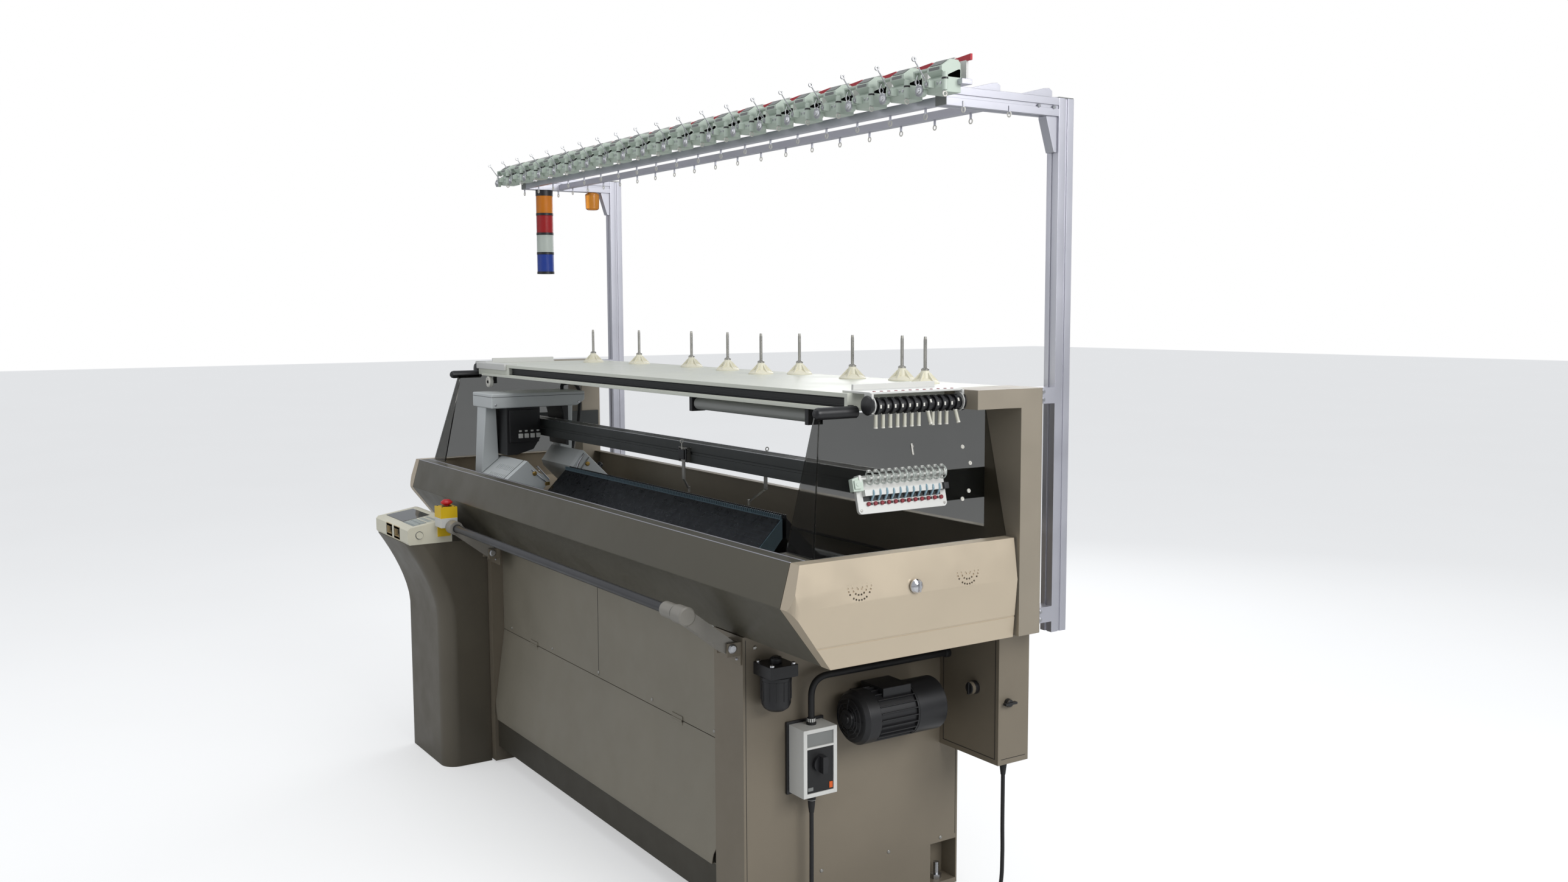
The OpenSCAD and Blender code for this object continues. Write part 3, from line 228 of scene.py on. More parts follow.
lens = Finish("lamp_lenses", rgb(230, 150, 30), 0.18, transmission_weight=0.35)
split = lens.node("ShaderNodeSeparateXYZ")
lens.link(lens.coords.outputs["Object"], split.inputs["Vector"])
height = lens.node("ShaderNodeMapRange")
height.inputs["From Min"].default_value = 1.747
height.inputs["From Max"].default_value = 2.047
lens.link(split.outputs["Z"], height.inputs["Value"])
bands = lens.ramp(height.outputs["Result"], [(0.0, rgb(32, 70, 170)), (0.25, rgb(214, 222, 214)),
    (0.5, rgb(186, 24, 28)), (0.75, rgb(232, 140, 20))])
lens.tree.nodes[-1].color_ramp.interpolation = "CONSTANT"
lens.link(bands, lens.shader.inputs["Base Color"])
ribs = lens.node("ShaderNodeTexWave", Scale=130.0, Distortion=0.0)
ribs.bands_direction = "Z"
lens.link(lens.space(), ribs.inputs["Vector"])
lens.bump(ribs.outputs["Fac"], 0.35, 0.001)
amber = Finish("amber_plastic", rgb(214, 140, 40), 0.16, transmission_weight=0.5).vary(20.0, 0.1)

# Darker copy of the champagne paint on the front cover is painted shade, lighter copy on the end covers
# painted light
shaded_champagne.use("front_cover")
lit_champagne.use("right_end_cover", "left_end_cover")
frame_paint.use("rear_cover", "right_end_frame", "left_end_frame")
base_paint.use("right_pedestal", "left_pedestal", "bed_frame", "rear_panels", "bar_brackets")
panel_paint.use("front_upper_panel", "front_lower_panel")
rail_paint.use("bottom_rail")
cream.use("table")
smoke.use("windows")
black_plastic.use("tower_frame", "isolator_handle")
black_paint.use("guide_bars")
alu.use("stand_posts", "stand_arms")
lens.use("tower_lenses")
amber.use("amber_cup")
white_plastic.use("guide_strips", "window_plate", "isolator_box")
bed_paint.use("front_needle_bed")
dark_bed.use("rear_needle_bed")
steel.use("carriage_rails", "levelling_feet", "drive_pulley", "idler_pulley", "tension_levers")
ivory.use("control_panel", "spindle_stands", "panel_button")
yellow_plastic.use("estop_box")
red_plastic.use("estop_button")
rubber.use("carriage_belt", "takedown_roller_front", "takedown_roller_rear")
carriage_paint.use("cam_boxes")
bar_paint.use("operating_bar")
arm_paint.use("bar_arms")
pale_steel.use("yarn_feeder_1", "yarn_feeder_2")
chrome.use("lock_knob")


# Building blocks for pieces

def shift(*place):
    return Matrix.Translation(place)


def spin(degrees, axis):
    return Matrix.Rotation(math.radians(degrees), 4, axis)


def screw_head(radius, rim, top, height, crown=None):
    """Profile of a screw head or a cap."""
    return [(radius, 0), (radius, rim), (top, height), (0, height if crown is None else crown)]


def about(middle, half):
    return (middle - half, middle + half)


def around(count):
    """Cosine and sine of evenly spaced directions."""
    return [(math.cos(a), math.sin(a)) for a in (2 * math.pi * k / count for k in range(count))]


def both_ways(side):
    return "X" if side > 0 else "-X"


TURNS = {"Z": Matrix(), "-Z": spin(180, "X"), "X": spin(90, "Y"), "-X": spin(-90, "Y"), "Y": spin(-90, "X"),
         "-Y": spin(90, "X")}


class Shape:
    """Collects simple solids in one mesh, in metres."""

    def __init__(self):
        self.bm = bmesh.new()

    def box(self, x, y, z, place=None):
        size = (x[1] - x[0], y[1] - y[0], z[1] - z[0])
        middle = ((x[0] + x[1]) / 2, (y[0] + y[1]) / 2, (z[0] + z[1]) / 2)
        m = Matrix.Translation(middle) @ Matrix.Diagonal((*size, 1))
        bmesh.ops.create_cube(self.bm, size=1, matrix=(place or Matrix()) @ m)
        return self

    def rod(self, a, b, radius, sides=20):
        a, b = Vector(a), Vector(b)
        turn = (b - a).to_track_quat("Z", "Y").to_matrix().to_4x4()
        m = Matrix.Translation((a + b) / 2) @ turn
        bmesh.ops.create_cone(self.bm, cap_ends=True, segments=sides, radius1=radius, radius2=radius,
                              depth=(b - a).length, matrix=m)
        return self

    def prism(self, outline, low, high, axis="X"):
        """Closed outline in the two other axes, in their order, extruded along one axis."""
        order = {"X": lambda u, v, w: (w, u, v), "Y": lambda u, v, w: (u, w, v),
            "Z": lambda *uvw: uvw}[axis]
        ends = [[self.bm.verts.new(order(u, v, w)) for u, v in outline] for w in (low, high)]
        faces = [self.bm.faces.new(ends[0]), self.bm.faces.new(ends[1])]
        n = len(outline)
        for i in range(n):
            j = (i + 1) % n
            faces.append(self.bm.faces.new((ends[0][i], ends[0][j], ends[1][j], ends[1][i])))
        bmesh.ops.recalc_face_normals(self.bm, faces=faces)
        return self

    def lathe(self, profile, place, axis="Z", sides=32):
        """Profile of (radius, height) pairs turned about an axis through the place."""
        m = Matrix.Translation(place) @ TURNS[axis]
        rows = []
        for r, h in profile:
            if r < 1e-7:
                rows.append([self.bm.verts.new(m @ Vector((0, 0, h)))])
            else:
                rows.append([self.bm.verts.new(m @ Vector((r * math.cos(t), r * math.sin(t), h)))
                             for t in (2 * math.pi * k / sides for k in range(sides))])
        faces = []
        for low, high in zip(rows, rows[1:]):
            for k in range(sides):
                j = (k + 1) % sides
                ring = [low[k % len(low)], low[j % len(low)], high[j % len(high)], high[k % len(high)]]
                ring = list(dict.fromkeys(ring))
                if len(ring) > 2:
                    faces.append(self.bm.faces.new(ring))
        for row in (rows[0], rows[-1]):
            if len(row) > 1:
                faces.append(self.bm.faces.new(row))
        bmesh.ops.recalc_face_normals(self.bm, faces=faces)
        return self

    def tube(self, points, radius, sides=8, closed=False):
        """Round tube along points."""
        points = [Vector(q) for q in points]
        n = len(points)
        rows = []
        side = None
        for i, q in enumerate(points):
            before = points[i - 1] if i or closed else q
            after = points[(i + 1) % n] if i < n - 1 or closed else q
            along = (after - before).normalized()
            if side is None:
                side = along.orthogonal().normalized()
            side = (side - along * side.dot(along)).normalized()
            up = along.cross(side)
            rows.append([self.bm.verts.new(q + radius * (math.cos(t) * side + math.sin(t) * up))
                         for t in (2 * math.pi * k / sides for k in range(sides))])
        faces = []
        pairs = list(zip(rows, rows[1:])) + ([(rows[-1], rows[0])] if closed else [])
        for low, high in pairs:
            for k in range(sides):
                j = (k + 1) % sides
                faces.append(self.bm.faces.new((low[k], low[j], high[j], high[k])))
        if not closed:
            faces += [self.bm.faces.new(rows[0]), self.bm.faces.new(rows[-1])]
        bmesh.ops.recalc_face_normals(self.bm, faces=faces)
        return self

    def ring(self, place, radius, thick, axis="Z", sides=24, tube_sides=8):
        u, v = {"Z": ((1, 0, 0), (0, 1, 0)), "X": ((0, 1, 0), (0, 0, 1)), "Y": ((1, 0, 0), (0, 0, 1))}[axis]
        u, v, c = Vector(u), Vector(v), Vector(place)
        points = [c + radius * (math.cos(t) * u + math.sin(t) * v)
                  for t in (2 * math.pi * k / sides for k in range(sides))]
        return self.tube(points, thick, tube_sides, closed=True)

    def moved(self, start, matrix):
        """Moves the vertices added since the mark."""
        self.bm.verts.ensure_lookup_table()
        bmesh.ops.transform(self.bm, matrix=matrix, verts=self.bm.verts[start:])
        return self

    def mark(self):
        return len(self.bm.verts)

    def copies(self, places):
        """Copies the mesh so far to each offset; the first mesh itself is taken away."""
        template = bpy.data.meshes.new("template")
        self.bm.to_mesh(template)
        self.bm.free()
        self.bm = bmesh.new()
        for place in places:
            template.transform(Matrix.Translation(place))
            self.bm.from_mesh(template)
            template.transform(Matrix.Translation(place).inverted())
        bpy.data.meshes.remove(template)
        return self

    def build(self, name, finish, body="machine", bevel=0.0, segments=2, replaces=(), place=None):
        if place is not None:
            bmesh.ops.transform(self.bm, matrix=place, verts=self.bm.verts[:])
        mesh = bpy.data.meshes.new(name)
        self.bm.to_mesh(mesh)
        self.bm.free()
        obj = new_object(name, mesh, finish, body)
        soften(obj, bevel, segments)
        if replaces:
            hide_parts(*replaces)
        return obj


def soften(obj, bevel=0.0, segments=2, weld=False):
    """Rounds the sharp edges and shades the rest smoothly."""
    for polygon in obj.data.polygons:
        polygon.use_smooth = True
    if weld:
        obj.modifiers.new("weld", "WELD").merge_threshold = 0.00002
    if bevel:
        m = obj.modifiers.new("bevel", "BEVEL")
        m.width = bevel
        m.segments = segments
        m.limit_method = "ANGLE"
        m.angle_limit = math.radians(30)
    obj.data.shade_smooth()
    split = obj.modifiers.new("normals", "WEIGHTED_NORMAL")
    split.keep_sharp = True
    if not bevel:
        obj.data.set_sharp_from_angle(angle=math.radians(35))


def new_object(name, data, finish, body="machine"):
    obj = bpy.data.objects.new(name, data)
    bpy.context.scene.collection.objects.link(obj)
    data.materials.append(finish.mat)
    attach(obj, body)
    return obj


def bent(points, radius=0.02, steps=5):
    """A polyline with its corners rounded."""
    points = [Vector(q) for q in points]
    out = [points[0]]
    for a, b, c in zip(points, points[1:], points[2:]):
        r = min(radius, (b - a).length / 2, (c - b).length / 2)
        start, stop = b + (a - b).normalized() * r, b + (c - b).normalized() * r
        for k in range(steps + 1):
            t = k / steps
            out.append(start.lerp(b, t).lerp(b.lerp(stop, t), t))
    out.append(points[-1])
    return out


# Supply cord, from the isolator along the floor to the rear box, in metres
CORD_DIAMETER = 0.011
CORD_ROUTE = [
    (0.95, -0.055, 0.363), (0.95, -0.055, 0.3), (0.95, -0.055, 0.22), (0.951, -0.056, 0.14),
    (0.954, -0.058, 0.08), (0.966, -0.056, 0.036), (0.99, -0.046, 0.012), (1.022, -0.02, 0.006),
    (1.06, 0.03, 0.006), (1.092, 0.1, 0.006), (1.112, 0.18, 0.006), (1.12, 0.26, 0.006),
    (1.122, 0.33, 0.006), (1.12, 0.39, 0.01), (1.116, 0.428, 0.034), (1.113, 0.444, 0.08),
    (1.111, 0.45, 0.15), (1.11, 0.45, 0.24), (1.11, 0.45, 0.33), (1.11, 0.45, 0.42)]

curve = bpy.data.curves.new("supply_cord_curve", "CURVE")
curve.dimensions = "3D"
curve.bevel_depth = CORD_DIAMETER / 2
curve.bevel_resolution = 4
curve.resolution_u = 6
spline = curve.splines.new("BEZIER")
spline.bezier_points.add(len(CORD_ROUTE) - 1)
for point, place in zip(spline.bezier_points, CORD_ROUTE):
    point.co = place
    point.handle_left_type = point.handle_right_type = "AUTO"
flex = new_object("supply_cord_flex", curve, rubber)
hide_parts("supply_cord")


# Further finishes for the fittings

dark_red = plastic("dark_red_plastic", (128, 34, 44), 0.35, (9.0, 0.1), (900.0, 0.1, 0.0003))
hose_blue = Finish("hose_blue", rgb(150, 182, 196), 0.25, transmission_weight=0.3).vary(14.0, 0.08)
ceramic = Finish("ceramic", rgb(212, 210, 202), 0.16).vary(30.0, 0.04)
tube_gold = plastic("guide_tube_plastic", (192, 190, 176), 0.36, (10.0, 0.08), (1100.0, 0.1, 0.0003))
yellowed = plastic("yellowed_plastic", (206, 184, 142), 0.4, (18.0, 0.1), (1100.0, 0.12, 0.0003))
orange_plastic = plastic("orange_plastic", (220, 96, 30), 0.36, (9.0, 0.1), (900.0, 0.1, 0.0003))
screen_glass = Finish("screen_glass", rgb(72, 74, 74), 0.08).vary(2.0, 0.12)
keypad_film = plastic("keypad_film", (122, 132, 130), 0.22, (4.0, 0.06), (900.0, 0.08, 0.0002))
keys_film = plastic("keys_film", (168, 176, 172), 0.3, (6.0, 0.05), (900.0, 0.08, 0.0002))
slot_black = plastic("slot_black", (16, 16, 17), 0.5, (5.0, 0.25), (900.0, 0.1, 0.0003))
band_blue = paint("band_blue", rgb(150, 176, 190), 0.32, 0.35, 0.1)
needle_steel = Finish("needle_steel", rgb(96, 98, 102), 0.3, 0.9).vary(40.0, 0.2).rough_between(0.22, 0.42,
    60.0)
lamp_white = plastic("lamp_tube", (150, 152, 148), 0.3, (4.0, 0.05), (900.0, 0.08, 0.0003))
tube_gold.use("guide_tubes")

# Round edges on the sheet metal, so that they catch the light
EDGE_WIDTHS = {
    0.004: ("right_end_frame", "left_end_frame"),
    0.003: ("right_pedestal", "left_pedestal", "control_panel", "estop_box"),
    0.002: ("bed_frame", "bottom_rail", "rear_panels", "isolator_box", "cam_boxes"),
    0.0018: ("front_cover",),
    0.0015: ("bar_arms",),
    0.0014: ("right_end_cover", "left_end_cover", "table"),
    0.0012: ("front_upper_panel", "front_lower_panel", "window_plate"),
    0.001: ("rear_cover", "guide_strips", "bar_brackets"),
    0.0008: ("stand_posts", "stand_arms", "guide_bars"),
    0.0007: ("guide_tubes",),
    0.0006: ("windows",),
    0.0004: ("spindle_stands", "tension_levers"),
}
for width, names in EDGE_WIDTHS.items():
    for name in names:
        soften(nodes[name], width, weld=True)


# Tension units on the yarn stand

UNIT_COUNT = 20
UNIT_PITCH = 2.7 / UNIT_COUNT
UNIT_Y = 0.092
UNIT_Z = 2.106
ARM_X = 1.242
UNIT_X = [(i - (UNIT_COUNT - 1) / 2) * UNIT_PITCH for i in range(UNIT_COUNT)]
unit_places = [(x, UNIT_Y, UNIT_Z) for x in UNIT_X]
strip_places = [(x, 0, 0) for x in UNIT_X]

unit = Shape()
unit.prism([(0, -0.022), (-0.046, -0.022), (-0.054, -0.012), (-0.054, 0.006), (-0.044, 0.014),
    (-0.008, 0.03), (0, 0.03)], -0.01, 0.052)
unit.prism([(-0.04, 0.01), (-0.056, 0.024), (-0.056, 0.034), (-0.032, 0.05), (-0.008, 0.05),
    (-0.001, 0.042), (-0.001, 0.01)], 0.0, 0.052)
unit.box((-0.022, 0.022), (-0.004, 0.022), (0.008, 0.016))
unit.box((-0.022, 0.0), (-0.005, 0.0), (-0.016, 0.016))
unit.box((-0.062, 0.002), (-0.046, -0.026), (0.032, 0.037))
unit.box((-0.062, -0.057), (-0.046, -0.026), (0.02, 0.033))
unit.rod((0.056, -0.05, -0.02), (0.056, -0.05, 0.02), 0.0065, sides=18)
unit.rod((-0.014, -0.066, -0.014), (-0.014, -0.052, -0.014), 0.013, sides=24)
unit.rod((-0.014, -0.053, -0.014), (-0.014, -0.004, -0.014), 0.006, sides=16)
for x in (0.003, 0.02):
    unit.box((x, x + 0.005), (-0.07, -0.05), (-0.012, 0.004))
unit.rod((0.004, -0.064, -0.004), (0.023, -0.064, -0.004), 0.0018, sides=12)
unit.copies(unit_places)
unit.build("tension_unit_bodies", mint, bevel=0.0009, replaces=("tension_units",))

(Shape().box((-1.35, 1.35), (0.082, 0.112), (2.102, 2.114))
 .box((-1.222, 1.222), (0.112, 0.132), (2.072, 2.092))
 .box((-1.222, 1.222), (0.252, 0.272), (2.072, 2.092))
 .build("slim_stand_rails", alu, bevel=0.001, replaces=("stand_rails",)))

lugs = Shape()
for low, high in ((1.258, 1.262), (-1.262, -1.258)):
    lugs.prism([(0.178, 2.112), (0.276, 2.112), (0.276, 2.126), (0.266, 2.132), (0.25, 2.13)], low, high)
    lugs.prism([(0.336, 2.112), (0.444, 2.112), (0.444, 2.128), (0.434, 2.134), (0.416, 2.132)], low, high)
for s in (1, -1):
    lugs.prism([(0.468, 1.983), (0.468, 2.0695), (0.432, 2.0695), (0.432, 2.063), (0.458, 1.983)],
        s * ARM_X - 0.014, s * ARM_X + 0.014)
lugs.build("arm_brackets", alu, bevel=0.0008)

caps = Shape()
caps.lathe([(0.0135, -0.001), (0.0135, 0.0012), (0.011, 0.0028), (0.006, 0.0034), (0.0052, 0.0062),
    (0, 0.0066)], (-0.014, -0.066, -0.014), "-Y", 24)
for x in (0.034, 0.046):
    caps.lathe(screw_head(0.0034, 0.0012, 0.0026, 0.0018), (x, -0.0535, -0.003), "-Y", 12)
caps.ring((-0.0595, -0.036, 0.0138), 0.0062, 0.0011, "X", 16, 6)
caps.tube(bent([(-0.002, -0.06, -0.014), (-0.03, -0.06, -0.004), (-0.044, -0.052, 0.012),
    (-0.05, -0.04, 0.031)], 0.008, 4), 0.0011, 6)
caps.copies(unit_places)
caps.build("unit_fittings", steel)

eyes = Shape()
eyes.ring((0.056, -0.05, -0.028), 0.0052, 0.0017, "X", 16, 8)
eyes.lathe([(0.0068, 0), (0.0068, 0.0028), (0.0055, 0.004), (0.0032, 0.0032), (0, 0.0024)],
    (0.0, -0.054, -0.002), "-Y", 18)
for y in (0.03, 0.17):
    eyes.ring((0.026, y, -0.053), 0.0058, 0.0016, "Y", 16, 8)
eyes.copies(unit_places)
eyes.build("unit_eyelets", ceramic)

stems = Shape()
for y in (0.028, 0.168):
    stems.box((0.0235, 0.0285), (y, y + 0.004), (-0.048, -0.0335))
stems.box((0.0515, 0.0535), (-0.051, -0.049), (-0.025, -0.012))
stems.copies(unit_places)
stems.build("eyelet_stems", alu, bevel=0.0003, segments=1)

(Shape().prism([(-0.0535, 0.0366), (-0.0345, 0.0493), (-0.0349, 0.0499), (-0.0539, 0.0372)], 0.006, 0.046)
 .box((0.008, 0.044), (-0.0567, -0.0555), (0.0262, 0.0326))
 .copies(unit_places)
 .build("unit_windows", grey_plastic, bevel=0.0003, segments=1))

collars = Shape()
collars.lathe([(0.0078, 0), (0.0078, 0.004), (0.0068, 0.005), (0.0062, 0.005)], (-0.014, -0.0535, -0.014),
    "Y", 20)
collars.lathe([(0.0074, 0), (0.0074, 0.003), (0.0066, 0.004), (0.0058, 0.004)], (0.056, -0.05, 0.004), "Z",
    20)
collars.copies(unit_places)
collars.build("unit_collars", black_plastic)


STRIP_Z = 2.156


def strip_top(x):
    return STRIP_Z + 0.004 + 0.01 * (x + UNIT_PITCH / 2) / UNIT_PITCH


(Shape().prism([(-0.06, strip_top(-0.06) - 0.003), (0.014, strip_top(0.014) - 0.003), (0.014, 2.1698),
     (-0.06, 2.1688)], UNIT_Y + 0.013, UNIT_Y + 0.021, "Y")
 .box((0.0265, 0.0535), (UNIT_Y + 0.0138, UNIT_Y + 0.0202), (UNIT_Z + 0.0078, 2.1575))
 .copies(strip_places)
 .build("strip_clips", white_plastic, bevel=0.0006))

strip = Shape()
half = UNIT_PITCH / 2
strip.prism([(-half, STRIP_Z), (half, STRIP_Z), (half, 2.17), (-half, 2.16)], 0.106, 0.112, "Y")
strip.copies(strip_places)
strip.build("red_wedge_strip", strip_red, bevel=0.0004, segments=1, replaces=("warning_strip",))

ends = Shape()
for s in (1, -1):
    # Grey plate on each arm's front end is painted shade of that front face; the plate on each post top is
    # an end cap
    ends.box(about(s * ARM_X, 0.0195), (0.1105, 0.1125), (2.07, 2.1015))
    ends.box(about(s * ARM_X, 0.0192), (0.4685, 0.5175), (2.1135, 2.1165))
    for y in (0.475, 0.511):
        ends.rod((s * ARM_X, y, 2.116), (s * ARM_X, y, 2.118), 0.004, sides=12)
ends.build("stand_caps_and_painted_shade", grey_plastic, bevel=0.0008)

post_bolts = Shape()
for s in (1, -1):
    for z in (0.835, 1.388):
        for dz in (-0.01, 0.01):
            post_bolts.lathe(screw_head(0.0055, 0.003, 0.003, 0.005), (s * 1.262, 0.428, z + dz),
                both_ways(s), 6)
    for y in (0.45, 0.4):
        post_bolts.lathe(screw_head(0.005, 0.003, 0.0028, 0.0045), (s * 1.2621, y, 2.09), both_ways(s), 6)
post_bolts.build("stand_bolts", steel)


# Window unit, on the leaning side pane: local X out of the pane, Z up it

PANE_LEAN = math.atan(0.08 / 0.314)
ON_PANE = shift(1.26, 0, 1.05) @ Matrix.Rotation(-PANE_LEAN, 4, "Y")
DOT_PITCH = 0.0195
LEVER_Y = [0.02 + (i - 5.5) * DOT_PITCH - 0.009 for i in range(12)]

dots = Shape()
for y in LEVER_Y:
    dots.lathe([(0.005, -0.0035), (0.005, 0.0004), (0.0038, 0.0012), (0.0028, 0.0004), (0, 0.0004)],
        (0.014, y, 0.11), "X", 18)
dots.build("window_dots", dark_red, place=ON_PANE)

slots = Shape()
for y in LEVER_Y[:-1]:
    slots.box((0.0095, 0.011), (y + 0.007, y + 0.0125), (0.107, 0.113))
slots.box((0.0095, 0.011), (-0.108, 0.118), (0.1165, 0.1275))
slots.build("window_slots", slot_black, place=ON_PANE)

hoses = Shape()
for k, y in enumerate(LEVER_Y[:-1]):
    hoses.tube(bent([(0.0115, y + 0.0095, 0.117), (0.019, y + 0.01, 0.125), (0.0245, y + 0.011, 0.132),
        (0.0205, y + 0.012, 0.14 + 0.001 * (k % 3))], 0.006, 3), 0.0026, 8)
hoses.build("window_hoses", hose_blue, place=ON_PANE)

(Shape().box((0.01, 0.029), (0.1195, 0.1335), (0.127, 0.142))
 .box((0.012, 0.024), (0.1215, 0.1315), (0.1415, 0.1432))
 .build("window_block", black_plastic, bevel=0.0012, place=ON_PANE))

bracket = Shape()
bracket.prism([(-0.142, 0.14), (-0.113, 0.14), (-0.112, 0.166), (-0.125, 0.173), (-0.142, 0.169)], 0.01,
    0.025)
bracket.box((0.024, 0.0292), (-0.139, -0.122), (0.145, 0.165))
bracket.rod((0.0285, -0.131, 0.155), (0.0305, -0.131, 0.155), 0.0045, sides=14)
bracket.build("window_bracket", mint, bevel=0.0012, place=ON_PANE)

bolts = Shape()
for y, z in ((-0.117, 0.096), (0.127, 0.096)):
    bolts.lathe(screw_head(0.0032, 0.0008, 0.0022, 0.0014), (0.01, y, z), "X", 14)
bolts.rod((0.0022, 0.06, 0.236), (0.006, 0.06, 0.236), 0.004, sides=12)
bolts.box((0.005, 0.0078), (0.0555, 0.0605), (0.215, 0.243))
bolts.build("pane_latch", pale_steel, bevel=0.0004, place=ON_PANE)

eyelets = Shape()
for y, z in ((0.216, 0.226), (0.232, 0.185), (0.214, 0.118), (0.19, 0.1)):
    eyelets.lathe([(0.0052, 0), (0.0052, 0.0016), (0.004, 0.0026), (0.0024, 0.002), (0.0024, 0.0002),
        (0, 0.0002)], (0.002, y, z), "X", 18)
eyelets.build("pane_eyelets", ceramic, place=ON_PANE)

hoops = Shape()
for y in LEVER_Y:
    hoops.ring((0.03, y, 0.168), 0.0152, 0.002, "Y", 28, 8)
    hoops.rod((0.021, y - 0.0036, 0.168), (0.021, y + 0.0036, 0.168), 0.0082, sides=20)
hoops.build("take_up_hoops", clear_plastic, body="take_ups", replaces=("window_levers",), place=ON_PANE)

lever_caps = Shape()
for y in LEVER_Y:
    lever_caps.rod((0.03, y - 0.004, 0.1832), (0.03, y + 0.004, 0.1832), 0.0034, sides=14)
    lever_caps.rod((0.021, y - 0.0046, 0.168), (0.021, y + 0.0046, 0.168), 0.007, sides=18)
lever_caps.build("lever_caps", white_plastic, body="take_ups", bevel=0.0005, segments=1, place=ON_PANE)


# Short dark tube at the front of each pane's top edge, hung from the end of the table

tubes = Shape()
for s in (1, -1):
    tubes.lathe([(0, -0.0142), (0.007, -0.0124), (0.0122, -0.0073), (0.0142, 0), (0.0142, 0.104),
        (0.0128, 0.1052), (0, 0.1052)], (s * 1.197, -0.2025, 1.368), "Y")
    tubes.box(sorted((s * 1.1795, s * 1.19)), (-0.109, -0.0985), (1.358, 1.383))
tubes.build("short_window_tubes", black_plastic, bevel=0.0006, replaces=("window_trims",))


# Guide bar, its rings, caps and the strip above it

GUIDE = (1.24, 1.3825)
TUBE_Y = [0.042 + (i - 5.5) * 0.021 for i in range(12)]
TILTED_TUBES = (7, 11)
GUIDE_TILT = -22

sleeves = Shape()
for y in TUBE_Y:
    sleeves.lathe([(0.015, -0.0046), (0.0192, -0.0046), (0.02, -0.0038), (0.02, 0.0038), (0.0192, 0.0046),
        (0.015, 0.0046)], (GUIDE[0], y, GUIDE[1]), "Y", 28)
sleeves.build("guide_rings", black_plastic, body="guides")

ring_highlights_and_ferrules = Shape()
for i, y in enumerate(TUBE_Y):
    turn = shift(GUIDE[0], y, GUIDE[1]) @ spin(GUIDE_TILT if i in TILTED_TUBES else 0, "Y")
    start = ring_highlights_and_ferrules.mark()
    ring_highlights_and_ferrules.lathe([(0.0052, 0), (0.0052, 0.0036), (0.0047, 0.0042)], (0, 0, -0.0208), "Z", 16)
    ring_highlights_and_ferrules.lathe([(0.005, 0), (0.005, 0.0022), (0.0046, 0.0026)], (0, 0, -0.051), "Z", 16)
    # Small pale patch on each black ring's outer face: a painted highlight; the two rings on the tube are
    # ferrules
    ring_highlights_and_ferrules.box((0.0196, 0.0206), (-0.0022, 0.0022), (-0.004, 0.004))
    ring_highlights_and_ferrules.moved(start, turn)
ring_highlights_and_ferrules.build("guide_ferrules_and_ring_highlights", ceramic, body="guides")

bar_caps = Shape()
for s in (1, -1):
    for y, way in ((-0.0955, "-Y"), (0.1795, "Y")):
        bar_caps.lathe([(0.015, -0.003), (0.0215, -0.002), (0.0228, 0.002), (0.0205, 0.0055),
            (0.01, 0.0075), (0, 0.008)], (s * GUIDE[0], y, GUIDE[1] + 0.002), way)
bar_caps.build("guide_bar_caps", black_plastic)

rims = Shape()
for y in (-0.0895, 0.1735):
    rims.ring((GUIDE[0], y, GUIDE[1] + 0.002), 0.0215, 0.0016, "Y", 32, 8)
rims.build("guide_bar_rims", white_plastic)

marks = Shape()
for y in TUBE_Y:
    marks.lathe([(0.004, -0.0006), (0.004, 0.0008), (0.003, 0.0014), (0, 0.0014)], (1.234, y, 1.415), "Z",
        16)
marks.build("strip_dots", dark_red)


# Table: the groove in its front edge, the lamp under it and the block at its left end

GROOVE_X = (-0.8795, 1.1675)
(Shape().box(GROOVE_X, (-0.0972, -0.0962), (1.3765, 1.3995))
 .box(GROOVE_X, (-0.1085, -0.0962), (1.376, 1.3768))
 .box(GROOVE_X, (-0.1085, -0.0962), (1.3992, 1.4))
 .build("table_groove", slot_black))

track = Shape()
for z in (1.3815, 1.3945):
    track.box((-0.878, 1.166), (-0.1, -0.0972), about(z, 0.0007))
track.build("groove_tracks", dark_paint)

(Shape().rod((0.39, -0.052, 1.342), (0.95, -0.052, 1.342), 0.0175, sides=28)
 .build("table_lamp", lamp_white, bevel=0.001))
holders = Shape()
for x in (0.372, 0.952):
    holders.box((x, x + 0.016), (-0.074, -0.03), (1.32, 1.3685))
holders.build("lamp_holders", black_plastic, bevel=0.0012)

(Shape().box((-1.179, -0.902), (-0.1195, -0.1098), (1.3905, 1.4125))
 .box((-1.179, -0.902), (-0.1195, -0.07), (1.4098, 1.4128))
 .build("table_end_block", white_plastic, bevel=0.0015))

roller = Shape()
roller.lathe([(0.006, -0.008), (0.0185, -0.008), (0.02, -0.006), (0.02, 0.006), (0.0185, 0.008),
    (0.0125, 0.008), (0.0115, 0.0065), (0.006, 0.0065)], (-1.06, -0.114, 1.344), "-Y")
roller.build("yarn_roller", ceramic)
(Shape().rod((-1.06, -0.124, 1.344), (-1.06, -0.088, 1.344), 0.0055, sides=16)
 .box((-1.066, -1.054), (-0.098, -0.088), (1.338, 1.369))
 .build("yarn_roller_axle", slot_black, bevel=0.0006))


# Needle beds: a fine row of needles down each slope, a pale band and dashes on the front one

SLOPE_FRONT = shift(0, 0.024, 1.045) @ spin(45, "X")
SLOPE_REAR = shift(0, 0.036, 1.045) @ spin(-45, "X")
NEEDLE_PITCH = 0.0035
NEEDLES = 398
BED_X = (-0.699, 0.699)

